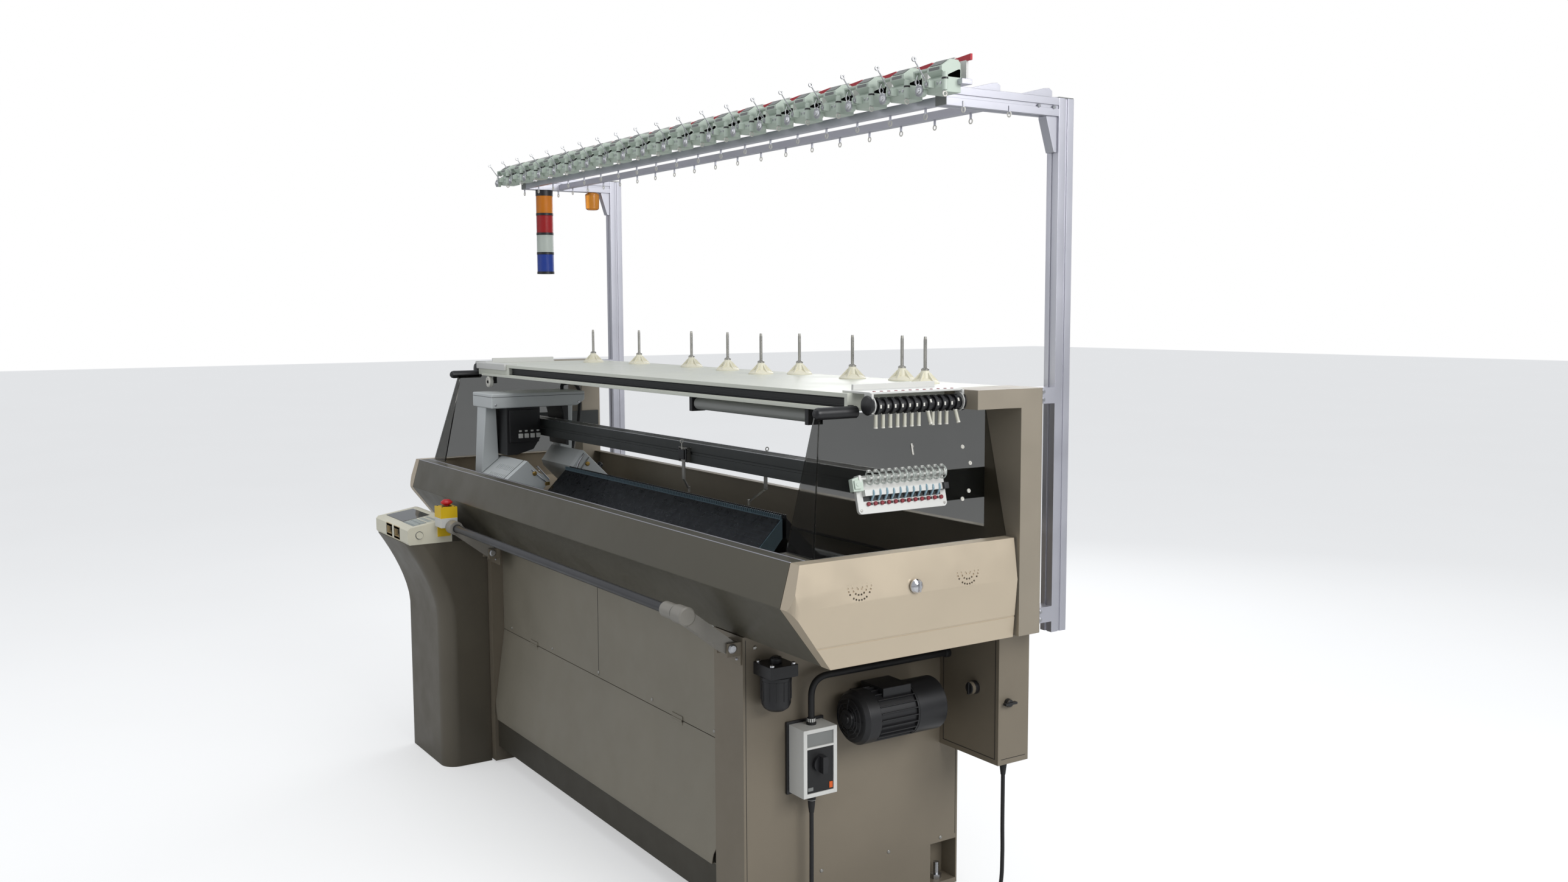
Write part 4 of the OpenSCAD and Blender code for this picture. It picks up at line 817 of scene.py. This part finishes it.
for name, matrix, side, rides in (("front_needles", SLOPE_FRONT, -1, "machine"),
        ("rear_needles", SLOPE_REAR, 1, "rear_bed")):
    blades = Shape()
    span = sorted((side * 0.006, side * 0.112))
    for i in range(NEEDLES):
        x = (i - (NEEDLES - 1) / 2) * NEEDLE_PITCH
        blades.box(about(x, 0.0006), span, (-0.0004, 0.0026))
    blades.build(name, needle_steel, body=rides, place=matrix)

(Shape().box((-0.6995, 0.6995), (-0.1975, -0.116), (-0.0004, 0.0012))
 .build("bed_band", band_blue, bevel=0.0004, segments=1, place=SLOPE_FRONT))

dashes = Shape()
for i in range(46):
    x = -0.69 + i * 0.0307
    dashes.box(about(x, 0.004), (-0.19, -0.174), (0.001, 0.0016))
    dashes.box(about(x, 0.0012), (-0.134, -0.1215), (0.001, 0.0016))
dashes.build("bed_dashes", slot_black, place=SLOPE_FRONT)

strips = Shape()
strips.box(BED_X, (-0.162, -0.156), (0.0008, 0.0036))
strips.box(BED_X, (-0.116, -0.112), (0.0, 0.004))
for i in range(24):
    x = -0.68 + i * 0.0591
    strips.lathe(screw_head(0.0026, 0.0008, 0.0018, 0.0013), (x, -0.159, 0.0036), "Z", 10)
strips.build("bed_strips", steel, bevel=0.0004, segments=1, place=SLOPE_FRONT)

(Shape().box(BED_X, (0.116, 0.121), (0.0, 0.0036))
 .box(BED_X, (0.15, 0.1535), (-0.0004, 0.002))
 .build("rear_bed_strips", dark_paint, body="rear_bed", bevel=0.0004, segments=1, place=SLOPE_REAR))


# Carriage: bridge over the beds, pale end caps, seams, shroud, levers and cable

CAP_X = (-0.746, -0.7185)
FRONT_CAP = [(-0.029, 1.0025), (-0.0395, 1.0208), (-0.0717, 1.0358), (-0.1148, 1.0812), (-0.2368, 0.9856),
    (-0.2368, 0.9387), (-0.0925, 0.9397)]
REAR_CAP = [(0.0655, 1.0265), (0.0572, 1.0502), (0.1, 1.1062), (0.2384, 0.9678), (0.2965, 0.9678),
    (0.2965, 0.9387), (0.153, 0.9397)]
bridge = Shape()
bridge.prism([(-0.185, 1.258), (0.145, 1.258), (0.175, 1.278), (0.175, 1.31), (-0.185, 1.31)], -1.05, -0.86)
for foot in ([(-0.18, 1.259), (-0.14, 1.259), (-0.128, 1.0698), (-0.194, 1.018)],
        [(0.112, 1.259), (0.16, 1.259), (0.16, 1.045), (0.112, 1.093)]):
    start = bridge.mark()
    bridge.prism(foot, -1.02, -0.935)
    bridge.bm.verts.ensure_lookup_table()
    for v in bridge.bm.verts[start:]:
        if v.co.x > -0.95:
            v.co.x -= 0.019 * (1.259 - v.co.z) / 0.239
bridge.build("carriage_bridge", carriage_paint, body="carriage", bevel=0.004, replaces=("carriage_frame",))

carriage_pale = paint("carriage_pale", rgb(202, 206, 206), 0.36, 0.05, 0.03)

(Shape().prism(FRONT_CAP, *CAP_X)
 .prism(REAR_CAP, *CAP_X)
 .build("cam_box_caps", carriage_pale, body="carriage", bevel=0.0022))

seams = Shape()
seams.prism([(-0.115, 1.0806), (-0.2364, 0.9855), (-0.2364, 0.97), (-0.23, 0.9855), (-0.115, 1.07)],
    -0.7495, -0.746)
seams.box((-0.8602, -0.8596), (-0.184, 0.174), (1.2975, 1.299))
seams.box((-1.05, -0.86), (-0.1853, -0.1848), (1.2975, 1.299))
seams.build("carriage_seams", slot_black, body="carriage")

(Shape().prism([(-0.1265, 1.2575), (0.002, 1.2575), (0.002, 1.145), (-0.025, 1.105), (-0.09, 1.087),
     (-0.1265, 1.087)], -1.018, -0.872)
 .box((-0.8725, -0.864), (-0.118, -0.006), (1.132, 1.25))
 .prism([(0.085, 1.2575), (0.1135, 1.2575), (0.1135, 1.11), (0.1, 1.115), (0.093, 1.23)], -1.018, -0.872)
 .build("carriage_shroud", black_plastic, body="carriage", bevel=0.002))

blocks = Shape()
for k in range(4):
    y = -0.086 + k * 0.0225
    blocks.box((-0.8645, -0.856), (y, y + 0.015), (1.148, 1.164))
    blocks.box((-0.864, -0.86), (y + 0.002, y + 0.012), (1.17, 1.176))
blocks.build("carriage_blocks", white_plastic, body="carriage", bevel=0.0012)

levers = Shape()
for bend in (((-0.08, 1.06), (-0.056, 1.033), (-0.035, 1.01)),
        ((0.101, 1.094), (0.079, 1.062), (0.069, 1.035))):
    levers.tube(bent([(-0.716, y, z) for y, z in bend], 0.008, 3), 0.003, 10)
levers.tube([(-0.7165, -0.1, 1.05), (-0.7165, -0.048, 1.002)], 0.0022, 8)
levers.tube([(-0.7165, 0.12, 1.08), (-0.7165, 0.08, 1.03)], 0.0022, 8)
levers.build("carriage_levers", chrome, body="carriage")

pivots = Shape()
for y, z in ((-0.088, 1.035), (0.115, 1.056)):
    pivots.lathe(screw_head(0.0085, 0.003, 0.006, 0.005), (-0.7188, y, z), "X", 20)
pivots.box((-0.7188, -0.712), (-0.05, -0.034), (0.99, 1.002))
pivots.build("carriage_pivots", brass, body="carriage", bevel=0.0006)

ON_ROOF = shift(-0.738, 0.166, 1.0388) @ spin(-45, "X")
(Shape().lathe([(0.0125, 0), (0.0125, 0.004), (0.0105, 0.006), (0.0105, 0.016), (0.0085, 0.0185),
     (0, 0.0185)], (0, 0, 0), "Z", 24)
 .build("roof_knob", black_plastic, body="carriage", bevel=0.0006, place=ON_ROOF))
screws = Shape()
for x in (-0.985, -0.735):
    for u in (-0.055, 0.06):
        start = screws.mark()
        screws.lathe(screw_head(0.0036, 0.001, 0.0026, 0.0018), (x + 0.738, u, 0), "Z", 14)
        screws.moved(start, ON_ROOF)
for y in (-0.17, 0.15):
    screws.lathe(screw_head(0.004, 0.001, 0.0028, 0.002), (-0.86, y, 1.27), "X", 14)
screws.build("carriage_screws", steel, body="carriage")

cable = Shape()
route = bent([(-0.985, 0.14, 1.3095), (-0.985, 0.14, 1.33), (-0.985, 0.19, 1.338), (-0.985, 0.215, 1.3),
    (-0.985, 0.205, 1.18), (-0.985, 0.175, 1.09), (-0.985, 0.17, 1.03)], 0.03, 6)
cable.tube(route, 0.0065, 12)
for k, q in enumerate(route):
    if k % 3 == 1:
        cable.ring(q, 0.0062, 0.0016, "Z", 16, 6)
cable.build("carriage_cable", rubber, body="carriage")


# Yarn rail and feeders

rail = Shape()
rail.prism([(0.022, 1.15), (0.076, 1.15), (0.076, 1.176), (0.073, 1.176), (0.073, 1.184), (0.076, 1.184),
    (0.076, 1.21), (0.022, 1.21), (0.022, 1.184), (0.025, 1.184), (0.025, 1.176), (0.022, 1.176)], -1.172,
    1.172)
for x in ((1.172, 1.18), (-1.18, -1.172)):
    rail.box(x, (0.002, 0.377), (1.136, 1.212))
rail.build("tall_yarn_rail", dark_paint, bevel=0.001, replaces=("yarn_rail",))
rails = Shape()
for y in (0.0245, 0.0735):
    rails.box((-1.171, 1.171), about(y, 0.0022), (1.2095, 1.2112))
rails.build("yarn_rail_tracks", steel, bevel=0.0004, segments=1)

for body, x, y, s in (("feeder_1", 0.18, 0.01, -1), ("feeder_2", 0.52, 0.088, 1)):
    grip = Shape()
    grip.box(about(x, 0.014), sorted((y, y + s * 0.005)), (1.16, 1.19))
    for side in (x - 0.024, x + 0.016):
        grip.box((side, side + 0.008), sorted((y, y + s * 0.003)), (1.154, 1.194))
    grip.build(body + "_fittings", black_plastic, body=body, bevel=0.001)
    eye = Shape()
    eye.ring((x, y + s * 0.0035, 1.214), 0.005, 0.0014, "X", 18, 8)
    eye.rod((x, y + s * 0.0035, 1.188), (x, y + s * 0.0035, 1.2085), 0.0014, sides=10)
    eye.build(body + "_fittings_eye", ceramic, body=body)


# Control panel: screen, keys, slot frames and button ring

PANEL_FRONT = -0.518
ON_PANEL = shift(-1.144, PANEL_FRONT + 0.024, 0.8665) @ spin(8.1, "X")
(Shape().box((0.006, 0.196), (0.006, 0.106), (-0.0005, 0.004))
 .build("panel_screen", screen_glass, bevel=0.001, place=ON_PANEL))
keypad = Shape()
keypad.box((0.2, 0.3145), (0.004, 0.108), (-0.0005, 0.003))
keypad.build("panel_keypad", keypad_film, bevel=0.0008, place=ON_PANEL)
keys = Shape()
for row in range(4):
    for col in range(5):
        x, y = 0.2075 + col * 0.0205, 0.012 + row * 0.023
        keys.box((x, x + 0.016), (y, y + 0.017), (0.0026, 0.0037))
keys.build("panel_keys", keys_film, bevel=0.0008, place=ON_PANEL)

frames = Shape()
for x in (-1.01, -0.925):
    for a, b, c, d in ((-0.033, 0.033, 0.85, 0.86), (-0.033, 0.033, 0.8145, 0.8245),
            (-0.033, -0.0255, 0.8245, 0.85), (0.0255, 0.033, 0.8245, 0.85)):
        frames.box((x + a, x + b), (PANEL_FRONT, PANEL_FRONT + 0.012), (c, d))
frames.build("slot_frames", yellowed, bevel=0.0002, segments=1)
inner = Shape()
for x in (-1.01, -0.925):
    inner.box(about(x, 0.0252), (-0.4955, -0.4945), (0.8248, 0.8498))
    inner.box((x - 0.018, x - 0.012), (-0.508, -0.4955), (0.83, 0.845))
inner.build("slot_backs", slot_black)
Shape().ring((-0.804, -0.478, 0.84), 0.013, 0.0012, "X", 28, 8).build("button_ring", grey_plastic)


# Emergency stop: pale lower half and collar

STOP_TOP = 0.938
(Shape().box((-0.8046, -0.7394), (-0.4226, -0.3634), (0.8672, 0.901))
 .build("stop_lower_half", white_plastic, bevel=0.0022))
collar = Shape()
collar.lathe([(0.0105, 0), (0.0175, 0.0), (0.0175, 0.0012), (0.016, 0.0018), (0.0105, 0.0018)],
    (-0.772, -0.39, STOP_TOP))
for y in (-0.414, -0.371):
    for x in (-0.797, -0.747):
        collar.lathe(screw_head(0.0026, 0.0008, 0.0018, 0.0012), (x, y, STOP_TOP), "Z", 12)
collar.build("stop_collar", black_plastic)


# Operating bar: caps, rings and bolts

BAR = (-0.385, 0.87)
bar_ends = Shape()
for x, way in ((-0.735, "-X"), (0.902, "X")):
    bar_ends.lathe(screw_head(0.0235, 0.003, 0.02, 0.006, 0.0065), (x, *BAR), way)
bar_ends.build("bar_end_caps", arm_paint, body="bar")
bar_rings = Shape()
bar_rings.lathe([(0.0195, -0.0015), (0.0205, -0.0012), (0.0205, 0.0012), (0.0195, 0.0015)], (0.855, *BAR),
    "X")
for x in (0.792, -0.686):
    bar_rings.lathe([(0.012, -0.002), (0.0145, -0.0015), (0.0145, 0.0015), (0.012, 0.002)], (x, *BAR), "X")
bar_rings.build("bar_rings", slot_black, body="bar")
bar_bolts = Shape()
for x, y, z in ((-0.685, -0.252, 0.752), (0.91, -0.25, 0.748)):
    bar_bolts.lathe(screw_head(0.012, 0.002, 0.0085, 0.005, 0.0055), (x, -0.262, 0.775), "X", 24)
    bar_bolts.lathe(screw_head(0.004, 0.002, 0.0024, 0.0034), (x, y, z), "X", 6)
bar_bolts.build("bar_bolts", steel)


# Right wall: isolator, glands and strain reliefs, oil tank, motor and rear box

ISO_FACE = 0.985
WALL_X = 0.915
bezel = Shape()
for y, z in (((-0.106, -0.095), (0.3855, 0.56)), ((-0.015, -0.004), (0.3855, 0.56)),
        ((-0.098, -0.012), (0.3855, 0.396)), ((-0.098, -0.012), (0.5495, 0.56)),
        ((-0.098, -0.012), (0.5095, 0.515))):
    bezel.box((ISO_FACE - 0.002, ISO_FACE + 0.0065), y, z)
bezel.build("isolator_bezel", white_plastic, bevel=0.0014)
(Shape().box((ISO_FACE - 0.001, ISO_FACE + 0.0032), (-0.0955, -0.0145), (0.3955, 0.51))
 .build("isolator_recess", slot_black))
upper = Shape()
upper.box((ISO_FACE - 0.001, ISO_FACE + 0.002), (-0.0955, -0.0145), (0.5145, 0.55))
upper.box((ISO_FACE - 0.001, ISO_FACE + 0.0045), (-0.092, -0.076), (0.402, 0.411))
upper.build("isolator_plate", grey_plastic, bevel=0.0006)
(Shape().box((ISO_FACE - 0.001, ISO_FACE + 0.0048), (-0.027, -0.017), (0.4, 0.416))
 .build("isolator_tag", orange_plastic, bevel=0.0006))
plate = Shape()
plate.box((0.9148, 0.9236), (-0.1116, 0.0016), (0.3784, 0.5666))
plate.build("isolator_back_plate", black_plastic, bevel=0.0015)
SWITCH = (0.95, -0.055)
(Shape().lathe([(0.0128, -0.001), (0.0128, 0.006), (0.0112, 0.007), (0.0112, 0.016), (0.0095, 0.018),
     (0.0086, 0.018)], (*SWITCH, 0.56), "Z", 12)
 .lathe([(0.0128, -0.001), (0.0128, 0.006), (0.0112, 0.007), (0.0112, 0.021), (0.0098, 0.024),
     (0.0085, 0.04), (0.0064, 0.056), (0.0056, 0.056)], (*SWITCH, 0.385), "-Z", 24)
 .lathe([(0.0125, -0.001), (0.0125, 0.008), (0.0105, 0.011), (0.0088, 0.024), (0.0064, 0.044),
     (0.0056, 0.044)], (1.11, 0.45, 0.42), "-Z", 24)
 .lathe([(0.0128, 0), (0.0128, 0.012), (0.01, 0.016), (0.0086, 0.016)], (0.95, 0.395, 0.68), "-Y", 12)
 .build("cable_glands", rubber, bevel=0.0006, segments=1))
hose = Shape()
hose.tube(bent([(*SWITCH, 0.574), (*SWITCH, 0.68), (0.95, 0.396, 0.68)], 0.062, 12), 0.0085, 16)
hose.build("motor_conduit", rubber, replaces=("conduit",))

TANK = (0.957, -0.165)
(Shape().lathe([(0, 0), (0.022, 0.002), (0.032, 0.009), (0.037, 0.02), (0.038, 0.09), (0, 0.09)],
     (*TANK, 0.616), "Z", 48)
 .box((WALL_X, 0.997), (-0.205, -0.125), (0.705, 0.736))
 .lathe([(0.015, 0), (0.015, 0.014), (0, 0.014)], (*TANK, 0.735))
 .rod((0.957, -0.126, 0.722), (0.957, -0.112, 0.722), 0.006, sides=16)
 .build("wide_oil_tank", black_plastic, bevel=0.0015, replaces=("oil_tank",)))

MOTOR = (0.993, 0.57)
MOTOR_RIBS = 24
motor = Shape()
motor.rod((MOTOR[0], 0.062, MOTOR[1]), (MOTOR[0], 0.268, MOTOR[1]), 0.063, sides=48)
motor.rod((MOTOR[0], 0.208, MOTOR[1]), (MOTOR[0], 0.298, MOTOR[1]), 0.07, sides=64)
motor.lathe([(0, 0), (0.07, 0), (0.07, 0.034), (0.062, 0.046), (0.026, 0.052), (0.024, 0.062), (0, 0.062)],
    (MOTOR[0], 0.084, MOTOR[1]), "-Y", 64)
for k in range(MOTOR_RIBS):
    motor.box((-0.0015, 0.0015), (0.086, 0.206), (0.06, 0.07),
        shift(MOTOR[0], 0, MOTOR[1]) @ spin(360 / MOTOR_RIBS * k, "Y"))
motor.box((0.938, 1.033), (0.11, 0.2), (0.614, 0.644))
motor.box((WALL_X, 0.963), (0.09, 0.25), (0.52, 0.62))
motor.build("short_motor", black_paint, bevel=0.001, replaces=("motor",))

head = Shape()
for x in (0.926, 0.988):
    for y in (-0.196, -0.134):
        head.lathe([(0.006, 0), (0.006, 0.0045), (0.0045, 0.006), (0.003, 0.006), (0.003, 0.003),
            (0, 0.003)], (x, y, 0.7355), "Z", 16)
head.build("tank_bolts", chrome)
bowl = Shape()
bowl.lathe([(0.0375, 0), (0.0395, 0.0015), (0.0395, 0.0095), (0.0375, 0.011)], (*TANK, 0.694), "Z", 40)
for c, s in around(12):
    x, y = TANK[0] + 0.0375 * c, TANK[1] + 0.0375 * s
    bowl.rod((x, y, 0.646), (x, y, 0.694), 0.0016, sides=8)
bowl.lathe(screw_head(0.0125, 0.006, 0.0095, 0.009), (*TANK, 0.744), "Z", 6)
bowl.build("tank_fittings", black_plastic, bevel=0.0008)

cowl = Shape()
for r, y in ((0.02, 0.0238), (0.03, 0.027), (0.04, 0.027), (0.05, 0.0305)):
    cowl.ring((MOTOR[0], y, MOTOR[1]), r, 0.0014, "Y", 40, 6)
for c, s in around(8):
    cowl.rod((MOTOR[0] + 0.008 * c, 0.0232, MOTOR[1] + 0.008 * s),
        (MOTOR[0] + 0.052 * c, 0.0312, MOTOR[1] + 0.052 * s), 0.0013, sides=6)
cowl.lathe([(0.0125, 0), (0.0115, 0.003), (0, 0.0036)], (MOTOR[0], 0.022, MOTOR[1]), "-Y", 24)
for y in (0.082, 0.206):
    cowl.lathe([(0.0672, -0.0035), (0.069, -0.003), (0.069, 0.003), (0.0672, 0.0035)],
        (MOTOR[0], y, MOTOR[1]), "Y", 64)
cowl.build("motor_cowl", black_paint)
bolts = Shape()
for k in range(4):
    a = math.radians(45 + 90 * k)
    bolts.lathe(screw_head(0.0048, 0.0035, 0.0028, 0.005), (MOTOR[0] + 0.056 * math.cos(a), 0.2978,
        MOTOR[1] + 0.056 * math.sin(a)), "Y", 6)
for y in (0.118, 0.192):
    for x in (0.944, 1.026):
        bolts.lathe(screw_head(0.003, 0.0012, 0.002, 0.002), (x, y, 0.6415), "Z", 12)
bolts.build("motor_bolts", steel)

(Shape().lathe([(0.0178, 0), (0.0178, 0.01), (0.015, 0.0228), (0.012, 0.0245), (0, 0.0245)],
     (1.06, 0.3955, 0.61), "-Y", 24)
 .box((1.0565, 1.0635), (0.368, 0.375), (0.594, 0.626))
 .lathe(screw_head(0.0112, 0.008, 0.009, 0.014, 0.0145), (1.15, 0.425, 0.585), "X", 20)
 .box((1.156, 1.168), (0.405, 0.445), (0.582, 0.588))
 .build("rear_box_knobs", black_plastic, bevel=0.001))
doors = Shape()
for x, z in (((0.93, 1.138), (0.434, 0.4355)), ((0.93, 1.138), (0.77, 0.7715)),
        ((0.93, 0.9315), (0.434, 0.7715)), ((1.1365, 1.138), (0.434, 0.7715))):
    doors.box(x, (0.3942, 0.3952), z)
for z in ((0.434, 0.4352), (0.77, 0.7712)):
    doors.box((1.1498, 1.1506), (0.406, 0.49), z)
doors.build("rear_box_seams", slot_black)


# Control column: its front curves out under the panel, with a round right corner

COLUMN_X = (-1.16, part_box("control_column")[1][0])
COLUMN_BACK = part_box("right_pedestal")[0][1]
COLUMN_ROUND = 0.055
COLUMN_FRONT = -0.405
COLUMN_STEP = -0.262
column = Shape()
rows = []
COLUMN_ROWS = [(0.0, 0.0), (0.18, 0.0), (0.36, 0.0)]
COLUMN_ROWS += [(0.54 + 0.268 * k / 8, 0.11 * (k / 8) ** 1.6) for k in range(9)]
for z, out in COLUMN_ROWS:
    front = COLUMN_FRONT - out
    middle = (COLUMN_X[1] - COLUMN_ROUND, front + COLUMN_ROUND)
    outline = [(COLUMN_X[0], COLUMN_BACK), (COLUMN_X[0], COLUMN_STEP), (COLUMN_X[0], front)]
    outline += [(middle[0] + COLUMN_ROUND * math.sin(t), middle[1] - COLUMN_ROUND * math.cos(t))
        for t in (math.radians(90 * k / 8) for k in range(9))]
    outline += [(COLUMN_X[1], COLUMN_STEP), (COLUMN_X[1], COLUMN_BACK)]
    rows.append([column.bm.verts.new((x, y, 0.79 if z > 0.8 and y > -0.25 else z)) for x, y in outline])
faces = [column.bm.faces.new(rows[0]), column.bm.faces.new(rows[-1])]
for low, high in zip(rows, rows[1:]):
    for k in range(len(low)):
        j = (k + 1) % len(low)
        faces.append(column.bm.faces.new((low[k], low[j], high[j], high[k])))
bmesh.ops.recalc_face_normals(column.bm, faces=faces)
column.build("round_control_column", column_paint, bevel=0.002, replaces=("control_column",))


# Covers and panels: painted highlights along the rim, seams and screws

RIM_X = (-1.2585, 1.2585)
# Thin aluminium strips on the front cover's outer and inner rim edges are painted highlights of the bent
# sheet's edges
(Shape().box(RIM_X, (-0.3222, -0.3186), (1.0494, 1.0508))
 .box(RIM_X, (-0.2852, -0.2818), (1.0494, 1.0508))
 .build("rim_painted_highlights", alu, bevel=0.0004, segments=1))
lip = Shape()
lip.tube([(-1.175, -0.28, 1.048), (1.175, -0.28, 1.048)], 0.003, 8)
lip.build("rim_lip", rubber)

screws = Shape()
for x in (-0.7, -0.35, 0.0, 0.35, 0.7):
    for z in (0.5, 0.782):
        screws.lathe(screw_head(0.0048, 0.0012, 0.0034, 0.0026, 0.0028), (x, -0.193, z), "-Y", 16)
for s in (1, -1):
    for y in (-0.2, 0.0, 0.22, 0.4):
        for z in (0.15, 0.77):
            screws.lathe(screw_head(0.0052, 0.0012, 0.0036, 0.0028, 0.003), (s * WALL_X, y, z),
                both_ways(s), 16)
screws.build("panel_screws", pale_steel)

seams = Shape()
seams.box((-0.0008, 0.0008), (-0.1935, -0.193), (0.49, 0.798))
for s in (1, -1):
    for y in (-0.228, 0.452):
        seams.box(about(s * WALL_X, 0.0005), (y, y + 0.0012), (0.15, 0.792))
seams.build("panel_seams", slot_black)

hinges = Shape()
for x in (-0.5, 0.5):
    hinges.box(about(x, 0.03), (-0.1955, -0.1928), (0.47, 0.495))
    hinges.rod((x - 0.03, -0.195, 0.4825), (x + 0.03, -0.195, 0.4825), 0.0035, sides=12)
hinges.build("panel_hinges", panel_paint, bevel=0.0006)


# Cone stands: steel pins over the plastic spindles

TABLE_TOP = 1.41
pins = Shape()
for x, y in ((-0.96, 0.26), (-0.7, 0.32), (-0.33, 0.33), (-0.04, 0.3), (0.24, 0.25), (0.33, 0.33),
        (0.64, 0.3), (0.8, 0.35), (0.96, 0.3)):
    pins.lathe([(0.0046, 0.04), (0.0046, 0.112), (0.0036, 0.122), (0, 0.1225)], (x, y, TABLE_TOP), "Z", 16)
    pins.lathe([(0.0105, 0.034), (0.0105, 0.038), (0.006, 0.041), (0.0046, 0.041)], (x, y, TABLE_TOP), "Z",
        20)
pins.build("spindle_pins", pale_steel)


# Floor, light and world

floor_mesh = bpy.data.meshes.new("floor")
FLOOR = 40
FLOOR_GLOW = 0.45
floor_mesh.from_pydata([(-FLOOR, -FLOOR, 0), (FLOOR, -FLOOR, 0), (FLOOR, FLOOR, 0), (-FLOOR, FLOOR, 0)], [],
    [(0, 1, 2, 3)])
floor = bpy.data.objects.new("floor", floor_mesh)
bpy.context.scene.collection.objects.link(floor)
floor_finish = Finish("floor_pale", rgb(205, 206, 206), 0.7)
floor_finish.vary(0.7, 0.02)
floor_finish.set("Emission Color", (1.0, 1.0, 1.0, 1.0))
floor_rays = floor_finish.node("ShaderNodeLightPath")
floor_glow = floor_finish.node("ShaderNodeMath", operation="MULTIPLY")
floor_glow.inputs[1].default_value = FLOOR_GLOW
floor_finish.link(floor_rays.outputs["Is Camera Ray"], floor_glow.inputs[0])
floor_finish.link(floor_glow.outputs["Value"], floor_finish.shader.inputs["Emission Strength"])
floor_mesh.materials.append(floor_finish.mat)


def area_light(name, place, aim, width, power):
    data = bpy.data.lights.new(name, "AREA")
    data.shape = "RECTANGLE"
    data.size = width
    data.size_y = width * 0.7
    data.energy = power
    lamp = bpy.data.objects.new(name, data)
    bpy.context.scene.collection.objects.link(lamp)
    lamp.location = place
    lamp.rotation_euler = (Vector(aim) - Vector(place)).to_track_quat("-Z", "Y").to_euler()


area_light("key_right", (5.2, 0.9, 3.2), (0.6, 0, 0.9), 3.2, 165)
area_light("fill_front", (-1.5, -4.5, 2.6), (0, 0, 1.0), 3.5, 28)
area_light("top", (0.3, -0.4, 4.6), (0, 0, 1.0), 3.8, 45)
area_light("back", (-2.5, 3.8, 3.0), (0, 0, 1.2), 3.0, 45)

world = bpy.data.worlds.new("world")
bpy.context.scene.world = world
world.use_nodes = True
tree = world.node_tree
ambient = tree.nodes["Background"]
ambient.inputs["Color"].default_value = (0.92, 0.95, 1.0, 1)
ambient.inputs["Strength"].default_value = 0.52
white = tree.nodes.new("ShaderNodeBackground")
white.inputs["Color"].default_value = (1, 1, 1, 1)
white.inputs["Strength"].default_value = 1.0
paths = tree.nodes.new("ShaderNodeLightPath")
mix = tree.nodes.new("ShaderNodeMixShader")
seen = tree.nodes.new("ShaderNodeMath")
seen.operation = "MAXIMUM"
for output, socket in ((paths.outputs["Is Camera Ray"], seen.inputs[0]),
        (paths.outputs["Is Transmission Ray"], seen.inputs[1]), (seen.outputs["Value"], mix.inputs["Fac"]),
        (ambient.outputs["Background"], mix.inputs[1]), (white.outputs["Background"], mix.inputs[2]),
        (mix.outputs["Shader"], tree.nodes["World Output"].inputs["Surface"])):
    tree.links.new(output, socket)
bpy.context.scene.view_settings.view_transform = "Standard"
